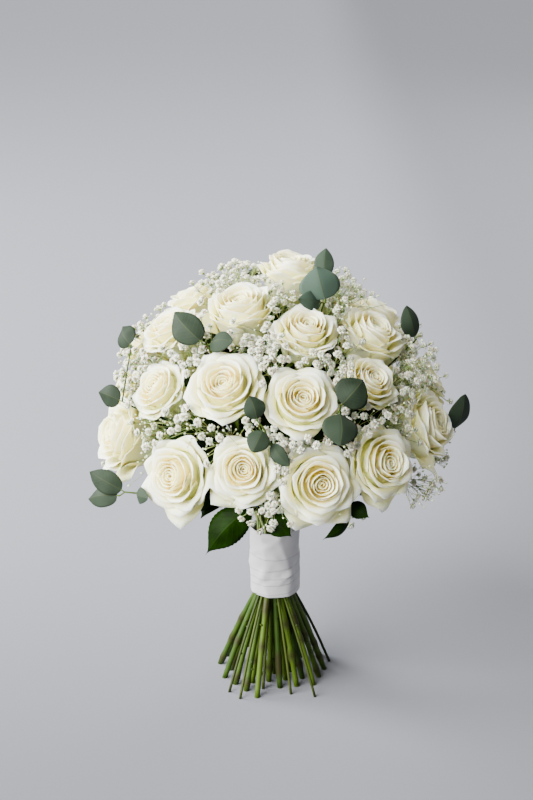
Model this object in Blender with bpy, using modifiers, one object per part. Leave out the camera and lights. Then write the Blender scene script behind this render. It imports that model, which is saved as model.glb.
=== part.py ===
"""A hand-tied bridal bouquet of white roses, baby's breath and silver eucalyptus.

The bouquet stands on its own cut stem ends. +Z is up, the origin is the cut end of the
middle stem, and the front of the dome looks along -Y. Run it with
blender --background --python part.py. Lengths are in metres, and the tables of the dome
give degrees and millimetres.
"""

import math
import random

import bmesh
import bpy
from mathutils import Matrix, Vector
from mathutils.bvhtree import BVHTree

MM = 0.001
GAP = 0.3 * MM  # clearance between two nodes that touch
SEED = 11

# The dome of blooms
DOME_CENTRE = Vector((0, 0, 226 * MM))
AIM_POINT = Vector((0, 0, 190 * MM))  # every bloom faces away from this point
BLOOM_SEAT = 104 * MM  # from the dome's centre to the foot of a bloom
APEX_LIFT = 10 * MM  # how much further out the top bloom sits
CROWN_ROSE = 0

# The binding: a hexagonal bundle of stems, a tape and a satin ribbon
RIBBON_BOTTOM = 85 * MM
RIBBON_TOP = 145 * MM
RIBBON_RADIUS = 21.8 * MM
RIBBON_BORE = 20.6 * MM
RIBBON_BANDS = 2
RIBBON_STEP = 0.4 * MM  # how far each band's lower edge stands out
RIBBON_EDGE = 0.5 * MM  # height of the slope at that edge
TAPE_BOTTOM = 104 * MM
TAPE_TOP = 126 * MM
TAPE_RADIUS = 20.3 * MM
SLEEVE_SIDES = 20
STEM_PITCH = 4.2 * MM
BOUND_BOTTOM = 84 * MM  # the stems run parallel from here
BOUND_TOP = 146 * MM  # to here
SHORT_END = 93 * MM  # where the stems that don't reach the foot are cut, inside the ribbon

# Stems
ROSE_STEM_RADIUS = 2.6 * MM
SPRIG_STEM_RADIUS = 1.2 * MM
SPRAY_STEM_RADIUS = 1.0 * MM
LEAF_STEM_RADIUS = 1.2 * MM
FOOT_SPREAD = 3.55  # spacing of the cut ends over the spacing in the binding
FOOT_RADIUS = 54 * MM  # from the middle stem to the outermost
FOOT_TWIST = math.radians(10)

# Blades and florets
LEAF_THICKNESS = 0.9 * MM
FLORET_RADIUS = 5.6 * MM
FLORET_HALF_HEIGHT = 3.6 * MM
TWIG_RADIUS = 0.75 * MM

# A bloom: its measures are in millimetres for a rose this wide across its open petals.
MODEL_WIDTH = 54.0
FOOT_OF_CUP = (0, 4.4)  # height and radius
BELLY_OF_CUP = (8, 15.0)
WAIST_OF_CUP = (20, 21.6)
GUARD_RIM = (31, 25.2)
# The layers inside the guard petals: petals, height and radius of their rim, and the number of
# points round the furrow that they rise from.
INNER_LAYERS = ((5, 34.5, 20.6, 10), (4, 37.5, 15.4, 8), (3, 39.5, 10.2, 6))
FURROW_DEPTH = 7.5
BUD = ((5, 34, 6.0), (5, 41, 5.0), (3, 38, 2.0))  # points, height and radius, to the inside
# A petal's edge: share of its width, how far out in tucks and in millimetres, and how far up
ROUND_EDGE = ((0.02, -1, 0, -2.4), (0.5, 0, 0.6, 0), (0.98, 1, 0, -1.6))
POINTED_EDGE = ((0.02, -1, 0, -2.6), (0.36, 0, 0.4, -0.3), (0.68, 0, 1.2, 0.3), (0.98, 1, 0, -1.8))
WAIST_TUCK = 0.9
GUARD_TUCK = 1.5
INNER_TUCK = 1.1
UNEVEN = 0.8  # how much higher or lower one petal's rim may be

# The sepals under a bloom
SEPAL_REACH = 12 * MM
SEPAL_DROP = 5 * MM
SEPAL_NOTCH = 4.4 * MM
STEM_END = 8 * MM  # from a bloom's foot back to where its stem straightens

# A leaf's outline: share of its length, half width as a share of its width, and its arch
LEAF_ARCH = 0.10
LEAF_OUTLINE = ((0, 0.05, 0), (0.38, 0.5, LEAF_ARCH), (0.74, 0.40, LEAF_ARCH * 0.8), (1, 0, 0))
LEAF_FOLD = 0.12  # how far the edges fall behind the rib, as a share of the half width

# A spray's branches
SPLIT_REACH = 0.40  # where they part, as a share of the way to their florets
BRANCH_TURN = 16  # from a branch's last bend to the reach of its florets, in millimetres
BRANCH_TIP = 3
TWIG_SPAN = 26 * MM  # how far down a branch its twigs start
FLORET_SCATTER = 0.08
FLORET_DEPTH = 12  # how much lower than the highest a floret may sit, in millimetres
STAR_WAIST = 0.62  # the notches between a floret's petals, as a share of its radius
FLORET_ROOM = 0.9 * MM  # between a floret's spokes and the solids round it
TRIES = 400

# Colours, as linear red, green and blue
CREAM = (0.86, 0.83, 0.70)
STEM_GREEN = (0.13, 0.24, 0.05)
SILVER_GREEN = (0.18, 0.28, 0.23)
FLORET_WHITE = (0.80, 0.85, 0.74)
LEAF_GREEN = (0.03, 0.10, 0.02)
SATIN_WHITE = (0.83, 0.82, 0.84)
TAPE_GREEN = (0.10, 0.16, 0.08)

# Each rose: its turn round the dome (0 faces the front, 90 the right), its lift above the
# dome's equator, and its width.
ROSES = (
    (112, 84, 56),
    (-34, 67, 58),
    (20, 57, 54),
    (66, 48, 55),
    (106, 46, 52),
    (163, 61, 56),
    (-115, 53, 53),
    (-77, 47, 54),
    (-55, 27, 50),
    (-21, 34, 60),
    (10, 30, 57),
    (44, 33, 49),
    (93, 17, 55),
    (125, 26, 55),
    (152, 36, 54),
    (-176, 35, 50),
    (-147, 41, 50),
    (-116, 26, 58),
    (69, 8, 60),
    (-69, 4, 61),
    (-35, 0, 59),
    (-11, 6, 53),
    (14, 1, 59),
    (39, 4, 58),
    (-94, 12, 50),
    (111, -4, 52),
    (138, 2, 58),
    (164, 7, 57),
    (-168, 8, 58),
    (-141, 10, 58),
)

# Each eucalyptus sprig: its leaves from the lowest up, as base and tip (turn, lift and reach
# from the dome's centre), width, and the turn and lift that the leaf faces.
SPRIGS = (
    ("crown", (((44, 67, 141), (18, 67, 150), 16, (0, 30)), ((40, 65, 146), (42, 73, 166), 34, (10, 30)),
               ((56, 72, 153), (80, 76, 171), 16, (0, 20)))),
    ("left_shoulder", (((-35, 49, 142), (-20, 50, 151), 18, (-25, 45)),
                       ((-35, 48, 147), (-57, 53, 158), 25, (-30, 45)))),
    ("left_side", (((-62, 22, 149), (-71, 21, 161), 18, (-40, 25)),
                   ((-81, 36, 147), (-93, 37, 158), 20, (-50, 30)))),
    ("left_skirt", (((-51, -5, 144), (-42, -3, 150), 13, (-35, 15)),
                    ((-54, -5, 149), (-65, -1, 165), 19, (-35, 35)),
                    ((-55, -6, 152), (-65, -9, 169), 19, (-35, 30)))),
    ("centre", (((-2, 20, 142), (4, 13, 150), 12, (0, 20)), ((-4, 24, 145), (-7, 17, 153), 18, (-5, 25)),
                ((-6, 26, 147), (-9, 33, 153), 17, (-5, 30)))),
    ("right_front", (((22, 28, 147), (19, 18, 157), 29, (20, 25)),
                     ((22, 29, 149), (31, 35, 158), 28, (20, 35)))),
    ("right_side", (((81, 5, 150), (80, 17, 165), 23, (35, 20)),)),
    ("right_shoulder", (((83, 38, 146), (84, 48, 160), 18, (30, 30)),)),
    ("back_left", (((-158, 22, 144), (-150, 31, 158), 26, (-155, 30)),
                   ((-157, 20, 147), (-168, 14, 159), 24, (-160, 15)))),
    ("back_crown", (((-155, 57, 140), (-147, 48, 152), 24, (-150, 55)),
                    ((-158, 56, 144), (179, 49, 154), 24, (-170, 50)))),
)

# Each stem of dark leaves, under the dome's rim, in the same way.
LEAF_STEMS = (
    ("front", (((-8, -3, 126), (-23, -19, 148), 28, (-15, 10)),
               ((-4, -7, 129), (5, -11, 144), 19, (0, 20)))),
    ("right", (((27, -5, 126), (30, -7, 147), 14, (20, 5)), ((28, -9, 130), (16, -15, 138), 11, (15, 0)))),
    ("back", (((174, -4, 126), (162, -14, 150), 26, (168, 5)),
              ((178, -6, 130), (-170, -17, 152), 28, (-175, 0)))),
)

# Each spray of baby's breath: the gaps between the blooms that it fills, as turn, lift,
# reach and the number of its florets there.
SPRAYS = (
    ("left", ((-73, 29, 146, 5), (-99, 36, 147, 4))),
    ("left_crown", ((-92, 74, 150, 5), (-51, 47, 144, 3))),
    ("right_crown", ((84, 68, 152, 5), (61, 66, 150, 4))),
    ("upper_front", ((-4, 48, 142, 5), (28, 43, 146, 4))),
    ("right", ((71, 30, 147, 5), (86, 30, 152, 4))),
    ("left_front", ((-39, 21, 143, 4), (-52, 15, 145, 3))),
    ("centre", ((3, 14, 143, 4), (1, 3, 143, 3))),
    ("right_front", ((48, 19, 144, 4), (27, 18, 144, 3))),
    ("right_skirt", ((57, -5, 153, 5), (88, -8, 146, 4))),
    ("front_skirt", ((0, -2, 147, 3), (24, -8, 143, 3))),
    ("back_right", ((142, 20, 145, 4), (134, 52, 147, 4))),
    ("back_left", ((-155, 25, 145, 4), (-138, 64, 148, 4))),
    ("back_skirt", ((176, -9, 145, 4), (174, 20, 146, 4))),
    ("left_skirt", ((-117, 3, 147, 4), (-92, -9, 144, 4))),
)


def direction(turn, lift):
    """The outward unit vector of a place on the dome."""
    a = math.radians(turn)
    e = math.radians(lift)
    return Vector((math.sin(a) * math.cos(e), -math.cos(a) * math.cos(e), math.sin(e)))


def dome_point(turn, lift, reach):
    """A point a reach in millimetres from the dome's centre."""
    return DOME_CENTRE + direction(turn, lift) * reach * MM


def bloom_seat(index):
    """The foot of a bloom and the axis that it opens along."""
    turn, lift, _ = ROSES[index]
    seat = BLOOM_SEAT + (APEX_LIFT if index == CROWN_ROSE else 0)
    foot = DOME_CENTRE + direction(turn, lift) * seat
    return foot, (foot - AIM_POINT).normalized()


def smooth_curve(start, pull_start, pull_end, end, steps):
    """Points of a cubic curve from start to end."""
    points = []
    for step in range(steps + 1):
        t = step / steps
        s = 1 - t
        points.append(start * s**3 + pull_start * 3 * s * s * t + pull_end * 3 * s * t * t + end * t**3)
    return points


# Pieces of mesh

def add_object(name, bm):
    """An object with the mesh of a bmesh, linked to the scene."""
    mesh = bpy.data.meshes.new(name)
    bmesh.ops.recalc_face_normals(bm, faces=bm.faces)
    bm.to_mesh(mesh)
    bm.free()
    piece = bpy.data.objects.new(name, mesh)
    bpy.context.scene.collection.objects.link(piece)
    return piece


def stitch_rings(bm, low, high):
    """Triangles between two closed rings of (degrees, vertex) pairs in order of angle."""
    i = 0
    j = 0
    while i < len(low) or j < len(high):
        low_turns, low_next = divmod(i + 1, len(low))
        high_turns, high_next = divmod(j + 1, len(high))
        low_angle = low[low_next][0] + 360 * low_turns
        high_angle = high[high_next][0] + 360 * high_turns
        low_now = low[i % len(low)][1]
        high_now = high[j % len(high)][1]
        if j == len(high) or (i < len(low) and low_angle <= high_angle):
            bm.faces.new((low_now, low[low_next][1], high_now))
            i += 1
        else:
            bm.faces.new((low_now, high[high_next][1], high_now))
            j += 1


def loft(name, rings, tip=None):
    """A closed solid through rings of (degrees, point) pairs, ending flat or at a tip."""
    bm = bmesh.new()
    loops = [[(angle, bm.verts.new(point)) for angle, point in ring] for ring in rings]
    for low, high in zip(loops, loops[1:]):
        stitch_rings(bm, low, high)
    bm.faces.new([vert for _, vert in reversed(loops[0])])
    last = [vert for _, vert in loops[-1]]
    if tip is None:
        bm.faces.new(last)
    else:
        top = bm.verts.new(tip)
        for first, second in zip(last, last[1:] + last[:1]):
            bm.faces.new((first, second, top))
    bmesh.ops.triangulate(bm, faces=bm.faces)
    return add_object(name, bm)


def section(centre, heading, radius, sides, first=0.0):
    """A ring of points round a centre, square to the heading."""
    turned = Vector((0, 0, 1)).rotation_difference(heading)
    ring = []
    for k in range(sides):
        angle = first + 360 * k / sides
        spoke = Vector((math.cos(math.radians(angle)), math.sin(math.radians(angle)), 0))
        ring.append((angle, centre + turned @ spoke * radius))
    return ring


def stem_rings(path, radius, sides, first=0.0):
    """Rings along a path of points: level up to the binding's top, square to the path after."""
    rings = []
    for step, point in enumerate(path):
        heading = Vector((0, 0, 1))
        if point.z > BOUND_TOP + GAP:
            before = path[step - 1]
            after = path[min(step + 1, len(path) - 1)]
            heading = (after - before).normalized()
        rings.append(section(point, heading, radius, sides, first))
    return rings


def blade(name, rows, thickness):
    """A thin leaf through rows of points, from its root to its tip."""
    bm = bmesh.new()
    lines = [[bm.verts.new(point) for point in row] for row in rows]
    for low, high in zip(lines, lines[1:]):
        stitch_rows(bm, low, high)
    piece = add_object(name, bm)
    shell = piece.modifiers.new("thickness", "SOLIDIFY")
    shell.thickness = thickness
    shell.offset = 0
    return piece


def stitch_rows(bm, low, high):
    """Triangles between two open rows that may hold unlike numbers of points."""
    i = 0
    j = 0
    while i < len(low) - 1 or j < len(high) - 1:
        next_low = (i + 1) / max(len(low) - 1, 1)
        next_high = (j + 1) / max(len(high) - 1, 1)
        if j == len(high) - 1 or (i < len(low) - 1 and next_low <= next_high):
            bm.faces.new((low[i], low[i + 1], high[j]))
            i += 1
        else:
            bm.faces.new((low[i], high[j + 1], high[j]))
            j += 1


def fuse(name, pieces, material, collection):
    """Join pieces that overlap into one solid, and put it in the collection.

    The union uses the manifold solver: the exact one leaves open edges where many thin
    stems cross at shallow angles.
    """
    base = pieces[0]
    scene = bpy.context.scene
    if len(pieces) > 1:
        repeats = bpy.data.collections.new(name + "_repeats")
        scene.collection.children.link(repeats)
        for piece in pieces[1:]:
            scene.collection.objects.unlink(piece)
            repeats.objects.link(piece)
        union = base.modifiers.new("union", "BOOLEAN")
        union.operation = "UNION"
        union.operand_type = "COLLECTION"
        union.collection = repeats
        union.solver = "MANIFOLD"
    bpy.context.view_layer.update()
    evaluated = base.evaluated_get(bpy.context.evaluated_depsgraph_get())
    mesh = bpy.data.meshes.new_from_object(evaluated)
    for piece in pieces:
        bpy.data.objects.remove(piece)
    if len(pieces) > 1:
        bpy.data.collections.remove(repeats)
    tidy(mesh)
    solid = bpy.data.objects.new(name, mesh)
    mesh.materials.clear()
    mesh.materials.append(material)
    collection.objects.link(solid)
    return solid


def tidy(mesh):
    """Keep the one outer skin, filling sealed hollows and dropping scraps, in triangles."""
    bm = bmesh.new()
    bm.from_mesh(mesh)
    skins = []
    unseen = set(bm.verts)
    while unseen:
        skin = set()
        reached = [unseen.pop()]
        while reached:
            vert = reached.pop()
            skin.add(vert)
            for edge in vert.link_edges:
                other = edge.other_vert(vert)
                if other in unseen:
                    unseen.remove(other)
                    reached.append(other)
        skins.append(skin)
    skins.sort(key=len)
    for skin in skins[:-1]:
        bmesh.ops.delete(bm, geom=list(skin), context="VERTS")
    bmesh.ops.triangulate(bm, faces=bm.faces)
    bm.to_mesh(mesh)
    bm.free()


def finish(name, colour, roughness):
    """A plain material of one colour."""
    material = bpy.data.materials.new(name)
    material.use_nodes = True
    shader = material.node_tree.nodes["Principled BSDF"]
    shader.inputs["Base Color"].default_value = (*colour, 1)
    shader.inputs["Roughness"].default_value = roughness
    shader.inputs["Metallic"].default_value = 0
    return material


# The binding

def lattice(count):
    """The places of a hexagonal bundle, from its middle outwards."""
    reach = 6
    places = []
    for row in range(-reach, reach + 1):
        for column in range(-reach, reach + 1):
            x = STEM_PITCH * (column + row / 2)
            y = STEM_PITCH * row * math.sqrt(3) / 2
            places.append(Vector((x, y)))
    places.sort(key=lambda p: (round(p.length, 6), math.atan2(p.y, p.x)))
    return places[:count]


def share_places(targets):
    """Give each stem the place in the bundle that suits where it goes, so that none cross."""
    places = lattice(len(targets))
    farthest = max(target.xy.length for target in targets)
    wanted = [target.xy * (places[-1].length / farthest) for target in targets]
    order = sorted(range(len(targets)), key=lambda i: wanted[i].length)
    held = [None] * len(targets)
    for place, index in zip(places, order):
        held[index] = place
    better = True
    while better:
        better = False
        for i in range(1, len(held)):
            for j in range(1, i):
                now = (held[i] - wanted[i]).length_squared + (held[j] - wanted[j]).length_squared
                swapped = (held[j] - wanted[i]).length_squared + (held[i] - wanted[j]).length_squared
                if swapped < now - 1e-12:
                    held[i], held[j] = held[j], held[i]
                    better = True
    return held


def squeeze(places, radii):
    """Press the thin stems towards the middle until each all but touches a neighbour."""
    squeezed = list(places)
    for i in sorted(range(len(places)), key=lambda k: places[k].length):
        if radii[i] >= ROSE_STEM_RADIUS:
            continue
        others = [j for j in range(len(places)) if j != i]
        pressed = squeezed[i]
        while all((pressed - squeezed[j]).length > radii[i] + radii[j] + GAP for j in others):
            squeezed[i] = pressed
            pressed = pressed * 0.99
    return squeezed


def foot_point(place):
    """Where a stem's level cut end stands, spread and turned from its place in the binding."""
    if place.length < GAP:
        return Vector((0, 0, 0))
    turned = (Matrix.Rotation(FOOT_TWIST, 2) @ place).normalized()
    out = min(place.length * FOOT_SPREAD, FOOT_RADIUS)
    return Vector((turned.x * out, turned.y * out, 0))


def stem_path(place, target, heading, steps, to_foot, bends=(Vector(), Vector())):
    """A stem's centre line from its cut end to its target, where it has the heading."""
    low = Vector((place.x, place.y, BOUND_BOTTOM if to_foot else SHORT_END))
    high = Vector((place.x, place.y, BOUND_TOP))
    rise = (target - high).length
    pull_start = high + Vector((0, 0, rise * 0.3)) + bends[0]
    pull_end = target - heading * rise * 0.35 + bends[1]
    lower = [foot_point(place)] if to_foot else []
    return [*lower, low, *smooth_curve(high, pull_start, pull_end, target, steps)]


class Surroundings:
    """The finished solids, which later stems, leaves and florets keep clear of."""

    def __init__(self):
        self.points = []
        self.faces = []
        self.tree = None

    def add(self, solid):
        """Take in a finished solid."""
        bpy.context.view_layer.update()
        first = len(self.points)
        self.points.extend(solid.matrix_world @ vert.co for vert in solid.data.vertices)
        for face in solid.data.polygons:
            self.faces.append([first + i for i in face.vertices])
        self.tree = BVHTree.FromPolygons(self.points, self.faces)

    def line_room(self, points, least):
        """The room along a line that starts outside, or the first that is below least."""
        room = 1
        for start, end in zip(points, points[1:]):
            steps = max(2, int((end - start).length / MM))
            for step in range(steps + 1):
                room = min(room, self.tree.find_nearest(start.lerp(end, step / steps))[3])
                if room < least:
                    return room
        return room


def bends_about(heading):
    """Small sideways moves of a stem's two control points, the smallest first."""
    side = heading.orthogonal().normalized()
    other = heading.cross(side)
    moves = [Vector()]
    for size in (4, 8, 13, 19, 26):
        for turn in range(8):
            angle = math.tau * turn / 8
            moves.append((side * math.cos(angle) + other * math.sin(angle)) * size * MM)
    pairs = [(low, high) for low in moves for high in moves if low.length < 14 * MM]
    pairs.sort(key=lambda pair: pair[0].length + pair[1].length)
    return pairs


def roomiest(lines, radius, surroundings):
    """The first of some lines with room for a stem, or else the one with the most room."""
    best = None
    most = 0
    for key, line in lines:
        room = surroundings.line_room(line, most)
        if room > most:
            most = room
            best = key
        if room > radius + GAP:
            break
    return best


def clear_stem_path(place, target, heading, steps, to_foot, radius, ahead, surroundings):
    """The straightest stem path that keeps clear of the solids, with the points ahead of it."""
    bound = 2 if to_foot else 1
    lines = []
    for bends in bends_about(heading):
        path = stem_path(place, target, heading, steps, to_foot, bends) + ahead
        lines.append((path, path[bound:]))
    return roomiest(lines, radius, surroundings)


def clear_branch(split, high, top, radius, surroundings):
    """The lower joint of a branch from a split to its top that keeps clear of the solids."""
    middle = split.lerp(high, 0.6)
    lows = [middle + move for _, move in bends_about((top - split).normalized())]
    lines = [(low, [split, low, high, top]) for low in lows]
    return roomiest(lines, radius, surroundings)


# Roses

def plain_ring(count, height, radius, scale):
    """A level circle of points."""
    ring = []
    for k in range(count):
        angle = 360 * k / count
        spoke = Vector((math.cos(math.radians(angle)), math.sin(math.radians(angle)), 0))
        ring.append((angle, (spoke * radius + Vector((0, 0, height))) * scale * MM))
    return ring


def petal_ring(petals, first, rim, tuck, edge, scale, rng):
    """The edge of a layer of petals, each tucked under the one before it."""
    height, radius = rim
    ring = []
    for k in range(petals):
        tall = rng.uniform(-UNEVEN, UNEVEN)
        for share, tucks, out, up in edge:
            angle = (first + 360 * (k + share) / petals) % 360
            spoke = Vector((math.cos(math.radians(angle)), math.sin(math.radians(angle)), 0))
            point = spoke * (radius + tuck * tucks + out) + Vector((0, 0, height + up + tall))
            ring.append((angle, point * scale * MM))
    ring.sort(key=lambda pair: pair[0])
    return ring


def make_bloom(index, material, collection):
    """One rose: layers of petals round a bud, each rising from the furrow inside the last."""
    rng = random.Random(SEED + index)
    scale = ROSES[index][2] / MODEL_WIDTH
    rings = [plain_ring(5, *FOOT_OF_CUP, scale), plain_ring(10, *BELLY_OF_CUP, scale)]
    first = rng.uniform(0, 360)
    rings.append(petal_ring(5, first, WAIST_OF_CUP, WAIST_TUCK, ROUND_EDGE, scale, rng))
    rings.append(petal_ring(5, first, GUARD_RIM, GUARD_TUCK, POINTED_EDGE, scale, rng))
    for petals, height, radius, furrow in INNER_LAYERS:
        first = rng.uniform(0, 360)
        rings.append(plain_ring(furrow, height - FURROW_DEPTH, radius, scale))
        rings.append(petal_ring(petals, first, (height, radius), INNER_TUCK, ROUND_EDGE, scale, rng))
    for points, height, radius in BUD:
        rings.append(plain_ring(points, height, radius, scale))
    bloom = loft(f"rose_bloom_{index + 1:02d}", rings)
    bloom = fuse(bloom.name, [bloom], material, collection)
    foot, axis = bloom_seat(index)
    bloom.location = foot
    bloom.rotation_mode = "QUATERNION"
    bloom.rotation_quaternion = axis.to_track_quat("Z", "Y")
    return bloom


def calyx_ring(foot, axis):
    """The edge of the five sepals under a bloom, as a drooping star."""
    turned = Vector((0, 0, 1)).rotation_difference(axis)
    ring = []
    for k in range(10):
        angle = 36 * k
        reach, drop = (SEPAL_REACH, SEPAL_DROP) if k % 2 else (SEPAL_NOTCH, 0)
        spoke = Vector((math.cos(math.radians(angle)), math.sin(math.radians(angle)), 0)) * reach
        ring.append((angle, foot + turned @ spoke - axis * (GAP + drop)))
    return ring


def make_rose_stems(places, material, collection):
    """All the rose stems with their sepals, pressed into one another where they are bound."""
    pieces = []
    for index, place in enumerate(places):
        foot, axis = bloom_seat(index)
        end = foot - axis * (GAP + STEM_END)
        path = stem_path(place, end, axis, 3, True)
        rings = stem_rings(path, ROSE_STEM_RADIUS, 6, 30)
        rings.append(calyx_ring(foot, axis))
        pieces.append(loft("stem", rings, foot - axis * GAP))
    return fuse("rose_stems", pieces, material, collection)


# Leaves

def leaf(name, base, tip, width, outward):
    """A leaf from base to tip that faces a way, folded a little along its rib."""
    along = tip - base
    side = along.cross(outward).normalized()
    face = side.cross(along).normalized()
    if face.dot(outward) < 0:
        face = -face
    length = along.length
    rows = []
    for share, half, rise in LEAF_OUTLINE:
        rib = base + along * share + face * rise * length
        wing = side * width * MM * half
        drop = face * (LEAF_FOLD * width * MM * half)
        if half == 0:
            rows.append([rib])
        elif half < 0.1:
            rows.append([rib - wing, rib + wing])
        else:
            rows.append([rib - wing + drop, rib, rib + wing + drop])
    return blade(name, rows, LEAF_THICKNESS)


def make_leafy_stem(name, leaves, place, radius, to_foot, material, collection, surroundings):
    """A stem that rises through the blooms and bears its leaves at its end."""
    bases = [dome_point(*base) for base, *_ in leaves]
    heading = (bases[0] - AIM_POINT).normalized()
    last = bases[-1] - (bases[-2] if len(bases) > 1 else AIM_POINT)
    ahead = [*bases[1:], bases[-1] + last.normalized() * radius * 1.5]
    path = clear_stem_path(place, bases[0], heading, 3, to_foot, radius, ahead, surroundings)
    pieces = [loft(name, stem_rings(path, radius, 5))]
    for (_, tip, width, facing), base in zip(leaves, bases):
        end = dome_point(*tip)
        root = base - (end - base).normalized() * radius * 0.5
        pieces.append(leaf(name, root, end, width, direction(*facing)))
    return fuse(name, pieces, material, collection)


# Baby's breath

def floret_twig(name, root, centre, radius, rng):
    """A three-sided twig that opens into a small star-shaped double flower."""
    heading = (centre - root).normalized()
    first = rng.uniform(0, 120)
    rings = [section(root, heading, radius * 0.6, 3, first)]
    neck = centre - heading * FLORET_HALF_HEIGHT
    rings.append(section(neck, heading, radius, 3, first))
    star = section(centre, heading, FLORET_RADIUS, 6, first)
    for k in range(1, 6, 2):
        angle, point = star[k]
        star[k] = (angle, centre.lerp(point, STAR_WAIST))
    rings.append(star)
    return loft(name, rings, centre + heading * FLORET_HALF_HEIGHT)


def clear_floret(root, centre, surroundings):
    """Whether a floret and its twig keep clear of the solids."""
    heading = (centre - root).normalized()
    least = TWIG_RADIUS + GAP
    if surroundings.line_room([root, centre], least) < least:
        return False
    star = [centre + heading * FLORET_HALF_HEIGHT]
    for _, point in section(centre, heading, FLORET_RADIUS, 6):
        star.extend((centre, point))
    return surroundings.line_room(star, FLORET_ROOM) > FLORET_ROOM


def head_places(line, turn, lift, reach, count, rng, surroundings):
    """Roots and centres for the florets of one gap, apart and clear of the solids."""
    middle = direction(turn, lift)
    chosen = []
    for _ in range(TRIES):
        if len(chosen) == count:
            break
        wander = Vector([rng.gauss(0, 1) for _ in range(3)])
        wander = (wander - middle * wander.dot(middle)) * FLORET_SCATTER
        out = reach + rng.uniform(-FLORET_DEPTH, BRANCH_TIP)
        centre = DOME_CENTRE + (middle + wander).normalized() * out * MM
        root = line[0].lerp(line[1], (len(chosen) + 0.4) / count)
        apart = all((centre - other).length > FLORET_RADIUS * 1.9 for _, other in chosen)
        steep = (centre - root).normalized().dot((line[1] - line[0]).normalized()) < 0.95
        if apart and steep and clear_floret(root, centre, surroundings):
            chosen.append((root, centre))
    return chosen


def make_spray(name, heads, place, material, collection, rng, surroundings):
    """A branching stem whose twigs fill the gaps between blooms with florets."""
    split = Vector((0, 0, 0))
    for turn, lift, reach, _ in heads:
        split += dome_point(turn, lift, reach * SPLIT_REACH) / len(heads)
    heading = (split - AIM_POINT).normalized()
    ahead = [split + heading * SPRAY_STEM_RADIUS]
    radius = SPRAY_STEM_RADIUS
    path = clear_stem_path(place, split, heading, 3, False, radius, ahead, surroundings)
    pieces = [loft(name, stem_rings(path, radius, 4))]
    for turn, lift, reach, count in heads:
        high = dome_point(turn, lift, reach - BRANCH_TURN)
        top = dome_point(turn, lift, reach - BRANCH_TIP)
        low = clear_branch(split, high, top, radius, surroundings)
        towards = (low - split).normalized()
        branch = [section(split - towards * GAP, towards, radius * 0.6, 4)]
        branch.append(section(low, (high - split).normalized(), radius, 4))
        branch.append(section(high, (top - low).normalized(), radius, 4))
        pieces.append(loft(name, branch, top))
        line = (high.lerp(low, min(1, TWIG_SPAN / (high - low).length)), high)
        for root, centre in head_places(line, turn, lift, reach, count, rng, surroundings):
            pieces.append(floret_twig(name, root, centre, TWIG_RADIUS * 0.8, rng))
    return fuse(name, pieces, material, collection)


# The wrap

def ring(name, levels, bore, material, collection):
    """A closed sleeve: levels give the heights and radii of its outside, bottom to top."""
    bm = bmesh.new()
    outside = [(radius, height) for height, radius in levels]
    profile = [(bore, levels[0][0]), *outside, (bore, levels[-1][0])]
    columns = []
    for k in range(SLEEVE_SIDES):
        angle = math.tau * k / SLEEVE_SIDES
        column = [bm.verts.new((math.cos(angle) * r, math.sin(angle) * r, z)) for r, z in profile]
        columns.append(column)
    for first, second in zip(columns, columns[1:] + columns[:1]):
        for i in range(len(profile)):
            j = (i + 1) % len(profile)
            bm.faces.new((first[i], second[i], second[j], first[j]))
    sleeve = add_object(name, bm)
    return fuse(name, [sleeve], material, collection)


def ribbon_levels():
    """The ribbon's outside, with a small step at the lower edge of each band."""
    levels = []
    band = (RIBBON_TOP - RIBBON_BOTTOM) / RIBBON_BANDS
    for k in range(RIBBON_BANDS):
        bottom = RIBBON_BOTTOM + band * k
        levels.append((bottom, RIBBON_RADIUS))
        levels.append((bottom + band - RIBBON_EDGE, RIBBON_RADIUS - RIBBON_STEP))
    return levels


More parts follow.
